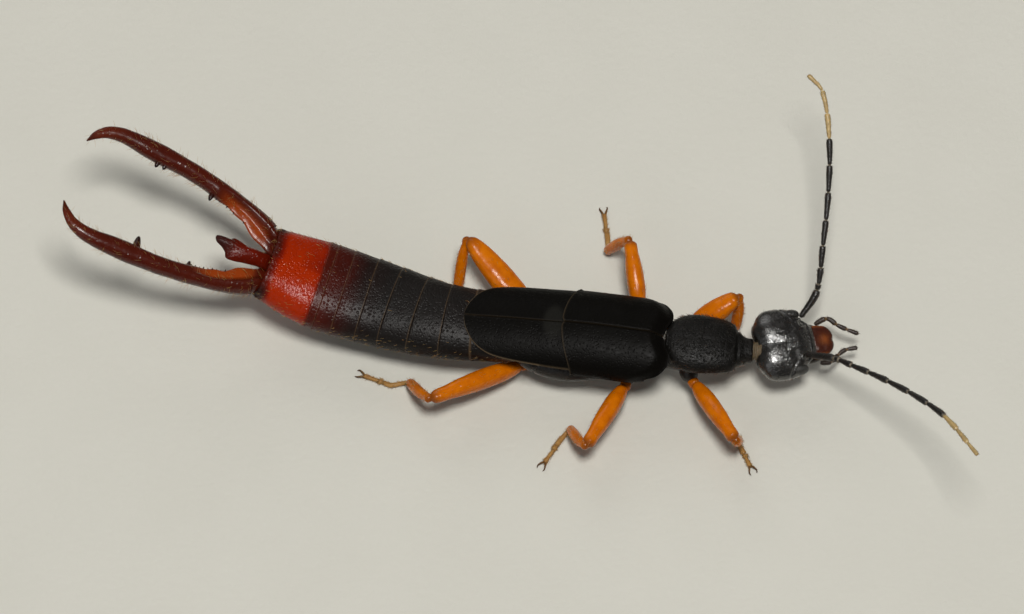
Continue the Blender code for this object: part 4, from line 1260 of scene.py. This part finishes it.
def build_eyes():
    for name, mirror in (("left", 1), ("right", -1)):
        turn = around(dense(120))[None, :]
        rise = (math.pi * (eased(dense(90)) - 0.5))[:, None]
        radius_x, radius_y, radius_z = EYE_RADII
        ball = np.stack(
            [
                radius_x * np.cos(rise) * np.cos(turn),
                radius_y * np.cos(rise) * np.sin(turn),
                radius_z * np.sin(rise) * np.ones_like(turn),
            ],
            axis=-1,
        )
        ball = ball + np.array([EYE_AT[0], EYE_AT[1] * mirror, EYE_AT[2]])
        facets = 0.006 * smooth(1 - nearest_dot(ball, 0.030, 71) / 0.7)
        ball = raised(ball, facets)
        shape = Shape()
        shape.skin(carried(head_matrix(), ball))
        shape.piece("eye_ball_" + name, FINISH["eye"], ("eye_" + name,))


def build_mouth():
    matrix = head_matrix()
    place = eased(dense(70))
    x = LABRUM_X + LABRUM_LENGTH * place
    wide = LABRUM_HALF_WIDTH * (1 - (place * 0.985) ** 3.2) ** 0.45 * (0.94 + 0.06 * place)
    wide = wide * np.clip(place / 0.06, 0.25, 1.0) ** 0.5
    thick = 0.11 * np.sqrt(np.clip(wide / LABRUM_HALF_WIDTH, 0.02, 1.0))
    side, height = oval(around(dense(90)), wide, thick, thick * 0.9, 2.5)
    sag = -0.09 * place**1.3 - 0.005
    notch = 0.05 * bell(side, 0.07) * smooth((place - 0.6) / 0.4)[:, None]
    rings = np.stack([x[:, None] - notch, side, height + sag[:, None]], axis=-1)
    rings = raised(rings, 0.008 * lumps(rings, 0.12, 81) + dents(rings, 0.10, 0.006, 82))
    shape = Shape(("pale",))
    edge = smooth((np.abs(side) / LABRUM_HALF_WIDTH - 0.72) / 0.2) * (1 - 0.3 * place[:, None])
    glow = spot(side, 0.14, place[:, None] - 0.55, 0.25)
    shape.skin(carried(matrix, rings), pale=np.clip(edge + glow, 0, 1))
    shape.piece("labrum_skin", FINISH["labrum"], ("labrum",))
    shape = Shape(("ring",))
    for mirror in (1, -1):
        path = mirrored(MANDIBLE_PATH, mirror)
        rings, _ = tube(path, MANDIBLE_PROFILE, (0, 0, 1), dense(40), dense(60))
        shape.skin(carried(matrix, rings))
        path = mirrored(LIP_PALP_PATH, mirror)
        beads(shape, path, LIP_PALP_JOINTS, LIP_PALP_RADIUS, matrix)
    rings, _ = tube(LOWER_LIP_PATH, LOWER_LIP_PROFILE, (0, 0, 1), dense(50), dense(50))
    shape.skin(carried(matrix, rings))
    shape.piece("mouth_parts", FINISH["palp"], ("mandibles",))


def beads(shape, path, joints, radius, matrix=None):
    """Club-shaped joints strung along a path, with a pale ring at each bend."""
    rows = []
    for start, end in zip(joints, joints[1:]):
        length = end - start
        for place, swell in ((0.02, 0.50), (0.10, 0.74), (0.50, 0.94), (0.84, 1.0), (0.97, 0.70)):
            wide = 2 * radius * swell * (1 - 0.25 * (start + place * length))
            rows.append((start + place * length, wide, wide))
    rows = [(0.0, rows[0][1], rows[0][2]), *rows, (1.0, rows[-1][1], rows[-1][2])]
    rings, place = tube(path, rows, (0, 0, 1), dense(28), dense(110))
    ring = sum(bell(place - joint, 0.022) for joint in joints[1:-1])
    if matrix is not None:
        rings = carried(matrix, rings)
    shape.skin(rings, ring=per_ring(ring, rings))
    return rings


def build_palp(side_name):
    shape = Shape(("ring",))
    rings = beads(shape, PALPS[side_name], PALP_JOINTS, PALP_RADIUS)
    shape.piece("palp_joints_" + side_name, FINISH["palp"], ("palp_" + side_name,))
    return rings


def antenna_profile():
    """Places along the feeler and widths there, and the places of its joints."""
    total = sum(ANTENNA_SEGMENTS)
    rows = []
    rings = []
    start = 0.0
    for k, length in enumerate(ANTENNA_SEGMENTS):
        radius = SCAPE_RADIUS if k == 0 else ANTENNA_RADIUS
        radius *= 1 - 0.10 * max(0, k - ANTENNA_PALE_FROM + 1)
        swells = ((0.0, JOINT_RING / radius), (0.03, 0.58), (0.10, 0.72), (0.40, 0.86))
        swells += ((0.72, 1.0), (0.90, 0.98), (0.965, 0.80), (0.99, JOINT_RING / radius))
        for place, swell in swells:
            wide = 2 * radius * swell
            rows.append(((start + place * length) / total, wide, wide))
        start += length
        rings.append(start / total)
    rows.append((1.0, 0.05, 0.05))
    return rows, rings


def build_antenna(side_name):
    rows, joints = antenna_profile()
    path = ANTENNAE[side_name]
    steps = dense(620)
    rings, place = tube(path, rows, (0.3, 0.1, 1), dense(26), steps, round_ends=False)
    rings = raised(rings, 0.004 * lumps(rings, 0.05, 91))
    split = int(np.searchsorted(place, joints[ANTENNA_PALE_FROM - 1]))
    ring = sum(bell(place - joint + 0.0008, 0.0024) for joint in joints[:-1])
    ring = np.repeat(np.clip(ring * 1.2, 0, 1)[:, None], rings.shape[1], axis=1)
    dark = Shape(("ring",))
    dark.skin(rings[: split + 1], ring=ring[: split + 1])
    nodes = ("antenna_scape_" + side_name, "antenna_flagellum_" + side_name)
    dark.piece("feeler_" + side_name, FINISH["antenna"], nodes)
    pale = Shape(("ring",))
    pale.skin(rings[split - 1 :], ring=ring[split - 1 :])
    nodes = ("antenna_tip_" + side_name,)
    pale.piece("feeler_tip_" + side_name, FINISH["antenna_tip"], nodes)
    return rings


def spike(root, ahead, length, radius, sides, rings):
    """Rings of a cone with a round point, from a root sunk in what carries it."""
    ahead = unit(np.array(ahead, float))
    side = unit(np.cross(ahead, [0.31, 0.52, 0.80]))
    up = np.cross(ahead, side)
    place = np.linspace(0.0, 1.0, rings)
    wide = radius * np.sqrt(np.clip(1 - place**1.6, 0.0004, 1))
    turn = around(sides)
    circle = side * np.cos(turn)[:, None] + up * np.sin(turn)[:, None]
    at = np.array(root, float) + ahead * (place * length)[:, None]
    return at[:, None] + wide[:, None, None] * circle[None]


def build_forceps(side_name):
    mirror = 1 if side_name == "left" else -1
    matrix = tail_matrix()
    count = dense(240)
    back = FORCEPS_ARM[0][0] + (FORCEPS_ARM[-1][0] - FORCEPS_ARM[0][0]) * (
        1 - (1 - np.linspace(0, 1, count)) ** 1.25
    )
    offset, width = table(FORCEPS_ARM, back).T
    height = table(FORCEPS_HEIGHT, back)[:, 0] / 2
    ahead = unit(np.column_stack([np.gradient(back), np.gradient(offset)]))
    ahead[back < 0.3] = (1.0, 0.0)
    turn = around(dense(72))
    across, lift = oval(turn, width / 2, height, height, 2.15)
    blade = smooth((BLADE_END - back) / 0.7)[:, None]
    place = across / (width[:, None] / 2)
    thin = 1 - blade * 0.74 * smooth((0.25 - place) / 0.55)
    lift = lift * thin
    wave = blade * 0.02 * np.sin(back * 9.0)[:, None] * smooth((-place - 0.3) / 0.5)
    rings = np.stack(
        [
            back[:, None] - ahead[:, 1:] * across,
            offset[:, None] + ahead[:, :1] * across + wave,
            lift,
        ],
        axis=-1,
    )
    rings[..., 1] *= mirror
    amount = 0.008 * lumps(rings, 0.40, 101) + 0.002 * lumps(rings, 0.12, 102)
    base = smooth((1.5 - back) / 1.2)[:, None]
    grains = smooth(1 - nearest_dot(rings, 0.13, 103) / 0.40)
    amount += 0.016 * base * grains * (place > -0.2)
    rings = raised(rings, amount)
    world = carried(matrix, rings)
    shape = Shape(("blade", "tip", "dark"))
    inner = blade * smooth((0.15 - place) / 0.5) * smooth((back - 0.1) / 0.3)[:, None]
    tip = smooth((back - 4.6) / 1.2)[:, None] * np.ones_like(place)
    dark = 0.5 * smooth((back[:, None] - 5.75) / 0.2) * np.ones_like(place)
    shape.skin(world, blade=inner, tip=0.8 * tip, dark=dark)
    for at, length, radius in TEETH[side_name]:
        add_tooth(shape, at, length, radius, mirror)
    for k, at in enumerate(np.linspace(*DENTICLE_SPAN, DENTICLES)):
        size = DENTICLE_SIZE * (0.7 + 0.5 * ((k * 7) % 5) / 4)
        add_tooth(shape, at, size, size * 0.62, mirror)
    shape.piece("forceps_arm_" + side_name, FINISH["forceps"], ("forceps_" + side_name,))
    return world


def add_tooth(shape, at, length, radius, mirror):
    offset, width = table(FORCEPS_ARM, at)[0]
    root = 0.16
    edge = (offset - width / 2 + root) * mirror
    rings = spike((at, edge, 0.0), (0.10, -mirror, 0.05), length + root, radius, TOOTH_SIDES, TOOTH_RINGS)
    rings = carried(tail_matrix(), rings)
    shade = np.linspace(0.0, 1.0, TOOTH_RINGS) ** 0.7
    shape.skin(rings, dark=np.repeat(shade, TOOTH_SIDES), blade=0.0, tip=0.0)


def build_pygidium():
    outline = np.array(PYGIDIUM_OUTLINE, float)
    count = len(outline)
    loop = np.concatenate([outline, outline[:1]])
    rows = np.column_stack([np.arange(count + 1), loop])
    fine = table(rows, np.linspace(0, count, dense(150), endpoint=False))
    middle = np.array([0.45, -0.02])
    heights = eased(dense(60)) * 2 - 1
    rings = []
    for lift in heights:
        share = (1 - abs(lift) ** 3.2) ** 0.5
        share = max(share, 0.03)
        flat = middle + (fine - middle) * share
        height = PYGIDIUM_HALF * math.copysign((1 - share**2.6) ** 0.8, lift)
        rings.append(np.column_stack([flat, np.full(len(flat), height)]))
    rings = np.array(rings)
    ridge = bell(rings[..., 1], 0.13) * (rings[..., 2] > 0)
    rings[..., 2] += 0.03 * ridge
    amount = 0.010 * lumps(rings, 0.20, 111) + dents(rings, 0.12, 0.008, 112)
    rings = raised(rings, amount)
    shape = Shape(("red", "pale"))
    world = carried(tail_matrix(), rings)
    red = 0.74 - 0.22 * smooth((rings[..., 0] - 0.9) / 0.5)
    shape.skin(world, red=red)
    shape.piece("pygidium_skin", FINISH["body"], ("pygidium",))


def build_leg(leg):
    plan = LEGS[leg]
    root = np.array(plan["root"])
    hip = np.array(plan["hip"])
    knee = np.array(plan["knee"])
    ankle = np.array(settled(plan["ankle"], ANKLE_HEIGHT))
    toes = [np.array(settled(p, FOOT_HEIGHT)) for p in plan["toes"]]
    width, height = plan["femur"]
    wide = 2 * COXA_RADIUS
    coxa = Shape(("joint", "dark"))
    profile = scaled(COXA_PROFILE, wide, wide)
    path = [root, root + 0.5 * (hip - root) + [0, 0, -0.02], hip + 0.05 * unit(hip - root)]
    rings, place = tube(path, profile, (0, 0, 1), dense(48), dense(50))
    coxa.skin(raised(rings, 0.010 * lumps(rings, 0.16, 121) + dents(rings, 0.12, 0.008, 122)))
    coxa.piece("hip_" + leg, FINISH["underside"], ("coxa_" + leg,))
    thigh = unit(knee - hip)
    shin = unit(ankle - knee)
    limb = Shape(("joint", "dark"))
    path = [hip - 0.10 * thigh, hip + 0.06 * thigh + 0.02 * unit(hip - root), hip + 0.24 * thigh]
    rings, place = tube(path, TROCHANTER_PROFILE, (0, 0, 1), dense(36), dense(40))
    joint = 0.45 + 0.4 * per_ring(bell(place - 0.9, 0.12), rings)
    limb.skin(raised(rings, 0.008 * lumps(rings, 0.12, 123)), joint=joint)
    sag = 0.04 * np.array([0, 0, 1.0])
    path = [hip + 0.14 * thigh, hip + 0.5 * (knee - hip) + sag, knee]
    profile = scaled(FEMUR_PROFILE, width, height)
    profile += [(0.93, 0.34 + 0.2 * (width - 0.34), 0.36), (1.0, 0.27, 0.28)]
    rings, place = tube(path, profile, (0, 0, 1), dense(64), dense(140), 2.3)
    femur_rings = raised(rings, 0.004 * lumps(rings, 0.20, 124) + dents(rings, 0.17, 0.006, 125))
    joint = bell(place - 1.0, 0.07) + 0.5 * bell(place, 0.05)
    limb.skin(femur_rings, joint=per_ring(joint, rings))
    bend = 0.05 * unit(np.cross(np.cross(thigh, shin), shin))
    path = [
        knee - 0.03 * shin,
        knee + 0.35 * (ankle - knee) - bend,
        knee + 0.7 * (ankle - knee) - 0.6 * bend,
        ankle,
    ]
    profile = scaled(TIBIA_PROFILE, TIBIA_WIDTH, TIBIA_WIDTH)
    rings, place = tube(path, profile, tuple(thigh), dense(44), dense(120), 2.2)
    tibia_rings = raised(rings, 0.003 * lumps(rings, 0.14, 126) + dents(rings, 0.13, 0.004, 127))
    joint = bell(place, 0.06) + 0.7 * bell(place - 1.0, 0.05)
    limb.skin(tibia_rings, joint=per_ring(joint, rings))
    limb.piece("leg_" + leg, FINISH["leg"], ("femur_" + leg, "tibia_" + leg))
    foot_rings = build_foot(leg, ankle, toes)
    return femur_rings, tibia_rings, foot_rings


def build_foot(leg, ankle, toes):
    """Three foot joints that lie on the floor, and two hooked claws."""
    shape = Shape(("joint", "dark"))
    end = toes[1]
    middle = toes[0] + 0.30 * (end - toes[0])
    low = np.array([0.0, 0.0, -0.015])
    start = ankle + 0.02 * unit(ankle - toes[0])
    second = middle + 0.16 * (end - toes[0])
    wide = TARSUS_WIDTH
    paths = (
        [start, 0.5 * (start + toes[0]) + low, toes[0], middle],
        [middle - 0.03 * (end - toes[0]), 0.5 * (middle + second), second],
        [second - 0.03 * (end - toes[0]), 0.5 * (second + end), end],
    )
    grown = []
    for path, swells in zip(paths, TARSUS_SWELLS):
        profile = [(place, wide * swell, wide * swell * 0.92) for place, swell in swells]
        rings, place = tube(path, profile, (0, 0, 1), dense(28), dense(46))
        rings = raised(rings, 0.004 * lumps(rings, 0.08, 128))
        rings[..., 2] = np.maximum(rings[..., 2], FLOOR_CLEARANCE)
        joint = bell(place, 0.07) + 0.6 * bell(place - 1.0, 0.07)
        shape.skin(rings, joint=per_ring(joint, rings))
        grown.append(rings)
    ahead = unit(end - toes[0])
    aside = unit(np.cross([0, 0, 1.0], ahead))
    for sign in (-1, 1):
        path = [
            end - 0.03 * ahead + 0.02 * sign * aside,
            end + 0.30 * CLAW_LENGTH * ahead + 0.30 * CLAW_LENGTH * sign * aside + [0, 0, 0.025],
            end + 0.72 * CLAW_LENGTH * ahead + 0.46 * CLAW_LENGTH * sign * aside + [0, 0, 0.005],
            end + CLAW_LENGTH * ahead + 0.36 * CLAW_LENGTH * sign * aside + [0, 0, -0.050],
        ]
        rings, place = tube(path, CLAW_PROFILE, (0, 0, 1), dense(14), dense(34))
        rings[..., 2] = np.maximum(rings[..., 2], FLOOR_CLEARANCE)
        shape.skin(rings, joint=0.6, dark=per_ring(0.25 + 0.6 * place, rings))
    shape.piece("foot_" + leg, FINISH["foot"], ("tarsus_" + leg,))
    return grown


def roots_on(rings, count, rng, share=None):
    """Scattered roots on a closed skin, with its normal and length directions there."""
    normal = ring_normals(rings)
    along = unit(np.gradient(rings, axis=0))
    step = np.linalg.norm(np.gradient(rings, axis=0), axis=-1)
    area = step * np.linalg.norm(np.roll(rings, -1, axis=1) - rings, axis=-1)
    weight = area if share is None else area * np.clip(share, 0, None)
    chosen = rng.choice(weight.size, size=count, p=(weight / weight.sum()).reshape(-1))
    row, col = np.unravel_index(chosen, weight.shape)
    place = np.column_stack([col / weight.shape[1], row / weight.shape[0]])
    return rings[row, col], normal[row, col], along[row, col], place


def add_hairs(shape, rings, count, rng, length, radius, lean, tile, share=None, spread=0.35, sign=1):
    """Tapered bent hairs of three sides; lean is how far they lie along the skin."""
    root, normal, along, place = roots_on(rings, count, rng, share)
    size = length * rng.uniform(0.65, 1.15, count)[:, None]
    jitter = rng.normal(0, spread, (count, 3))
    start = unit(normal + sign * lean * along + jitter)
    end = unit(start + sign * lean * 0.8 * along - 0.25 * normal)
    side = unit(np.cross(start, rng.normal(0, 1, (count, 3))))
    up = np.cross(start, side)
    points = []
    for reach, swell in ((-0.06, 1.0), (0.35, 0.85), (0.70, 0.55)):
        at = root + size * (reach * start + 0.5 * max(reach, 0.0) ** 2 * (end - start))
        for k in range(3):
            turn = 2 * math.pi * k / 3
            points.append(at + radius * swell * (side * math.cos(turn) + up * math.sin(turn)))
    points.append(root + size * (start + 0.5 * (end - start)))
    stack = np.stack(points, axis=1)
    stack[..., 2] = np.maximum(stack[..., 2], FLOOR_CLEARANCE)
    quads = []
    for ring in (0, 3):
        for k in range(3):
            n = (k + 1) % 3
            quads.append((ring + k, ring + n, ring + 3 + n, ring + 3 + k))
    tris = [(6, 7, 9), (7, 8, 9), (8, 6, 9), (2, 1, 0)]
    first = np.arange(count)[:, None, None] * 10
    quads = (first + np.array(quads)[None]).reshape(-1, 4)
    tris = (first + np.array(tris)[None]).reshape(-1, 3)
    corner = np.array([(k % 3 / 3, k // 3 / 3) for k in range(10)])
    column, line = tile % COAT_TILES, tile // COAT_TILES
    base = (place * 0.94 + 0.03 + [column, line]) / COAT_TILES
    patch = base[:, None] + (corner[None] - 0.5) * COAT_PATCH
    shape.add(stack.reshape(-1, 3), (quads, tris), patch=patch.reshape(-1, 2))


def build_hairs(made):
    rng = np.random.default_rng(SEED)
    coat = Shape()
    tile = 0
    for femur, tibia, foot in made["legs"].values():
        add_hairs(coat, femur, dense(70), rng, 0.13, 0.0050, 1.2, tile)
        add_hairs(coat, tibia, dense(110), rng, 0.11, 0.0050, 1.0, tile + 1)
        for rings in foot:
            add_hairs(coat, rings, dense(90), rng, 0.085, 0.0045, 1.0, tile + 2)
        tile += 3
    coat.piece("leg_hairs", FINISH["gold_hair"])
    coat = Shape()
    for k, name in enumerate(("left", "right")):
        add_hairs(coat, made["forceps"][name], dense(320), rng, 0.25, 0.0045, 0.5, k)
    body, side = made["body"]
    low = (np.abs(side) / np.abs(side).max(axis=1, keepdims=True) > 0.86) * 1.0
    add_hairs(coat, body, dense(420), rng, 0.12, 0.0045, 1.3, 2, low + 0.05, sign=-1)
    rear = body[:40]
    add_hairs(coat, rear, dense(70), rng, 0.18, 0.0050, 1.2, 3, sign=-1)
    coat.piece("body_hairs", FINISH["gold_hair"])
    coat = Shape()
    plate = made["pronotum"]
    height = plate[..., 2] - plate[..., 2].mean(axis=1, keepdims=True)
    edge = bell(height, 0.12) + 0.05
    add_hairs(coat, plate, dense(420), rng, 0.11, 0.0050, 0.9, 0, edge, sign=-1)
    add_hairs(coat, made["head"], dense(420), rng, 0.09, 0.0045, 0.9, 1, spread=0.5)
    for k, name in enumerate(("left", "right")):
        add_hairs(coat, made["antennae"][name], dense(900), rng, 0.065, 0.0035, 1.4, 2 + k)
        add_hairs(coat, made["palps"][name], dense(110), rng, 0.08, 0.0040, 1.0, 4 + k)
    coat.piece("fine_hairs", FINISH["dark_hair"])


def floor_finish():
    made = new_material("floor", 0.75)
    colour = mixed(made, noise(made, 3.0, 5.0), (0.600, 0.590, 0.530), (0.640, 0.630, 0.570))
    return finish_with(made, colour, None, ((noise(made, 0.25, 5.0), 0.03),))


def build_floor():
    mesh = bpy.data.meshes.new("floor")
    half = 0.6
    corners = [(-half, -half, 0), (half, -half, 0), (half, half, 0), (-half, half, 0)]
    mesh.from_pydata(corners, [], [(0, 1, 2, 3)])
    mesh.materials.append(floor_finish())
    obj = bpy.data.objects.new("floor", mesh)
    bpy.context.scene.collection.objects.link(obj)


def add_light(name, place, size, power, colour):
    data = bpy.data.lights.new(name, "AREA")
    data.shape = "DISK"
    data.size = size
    data.energy = power
    data.color = colour
    obj = bpy.data.objects.new(name, data)
    obj.location = place
    obj.rotation_euler = (-Vector(place)).to_track_quat("-Z", "Y").to_euler()
    bpy.context.scene.collection.objects.link(obj)


def build_lights():
    add_light("key", (0.02, -0.06, 0.30), 0.075, 0.72, (1.0, 0.985, 0.95))
    add_light("back", (-0.08, 0.24, 0.20), 0.20, 0.14, (1.0, 0.99, 0.97))
    add_light("fill", (-0.16, -0.22, 0.20), 0.24, 0.10, (0.97, 0.985, 1.0))
    world = bpy.data.worlds.new("room")
    world.use_nodes = True
    background = world.node_tree.nodes["Background"]
    background.inputs["Color"].default_value = (1.0, 0.99, 0.97, 1.0)
    background.inputs["Strength"].default_value = 0.09
    bpy.context.scene.world = world
    bpy.context.scene.view_settings.view_transform = "Standard"


def build_camera():
    data = bpy.data.cameras.new("camera")
    data.lens = LENS
    data.sensor_width = SENSOR
    data.clip_start = 0.01
    data.clip_end = 5.0
    camera = bpy.data.objects.new("camera", data)
    lift = math.radians(VIEW_ELEVATION_DEG)
    back = Vector((0.0, -math.cos(lift), math.sin(lift)))
    target = Vector(to_world(np.array(VIEW_TARGET)))
    camera.location = target + back * (VIEW_WIDTH * MM * LENS / SENSOR)
    camera.rotation_euler = (-back).to_track_quat("-Z", "Y").to_euler()
    bpy.context.scene.collection.objects.link(camera)
    bpy.context.scene.camera = camera


def build_animal():
    made = {}
    made["body"] = build_body()
    build_thorax()
    build_neck()
    build_eyes()
    build_mouth()
    build_pygidium()
    made["pronotum"] = build_pronotum()
    made["head"] = build_head()
    made["antennae"] = {}
    made["palps"] = {}
    made["forceps"] = {}
    for name in ("left", "right"):
        build_elytron(name)
        build_wing_tip(name)
        made["antennae"][name] = build_antenna(name)
        made["palps"][name] = build_palp(name)
        made["forceps"][name] = build_forceps(name)
    made["legs"] = {leg: build_leg(leg) for leg in LEGS}
    build_hairs(made)


build_camera()
build_lights()
build_floor()
build_animal()
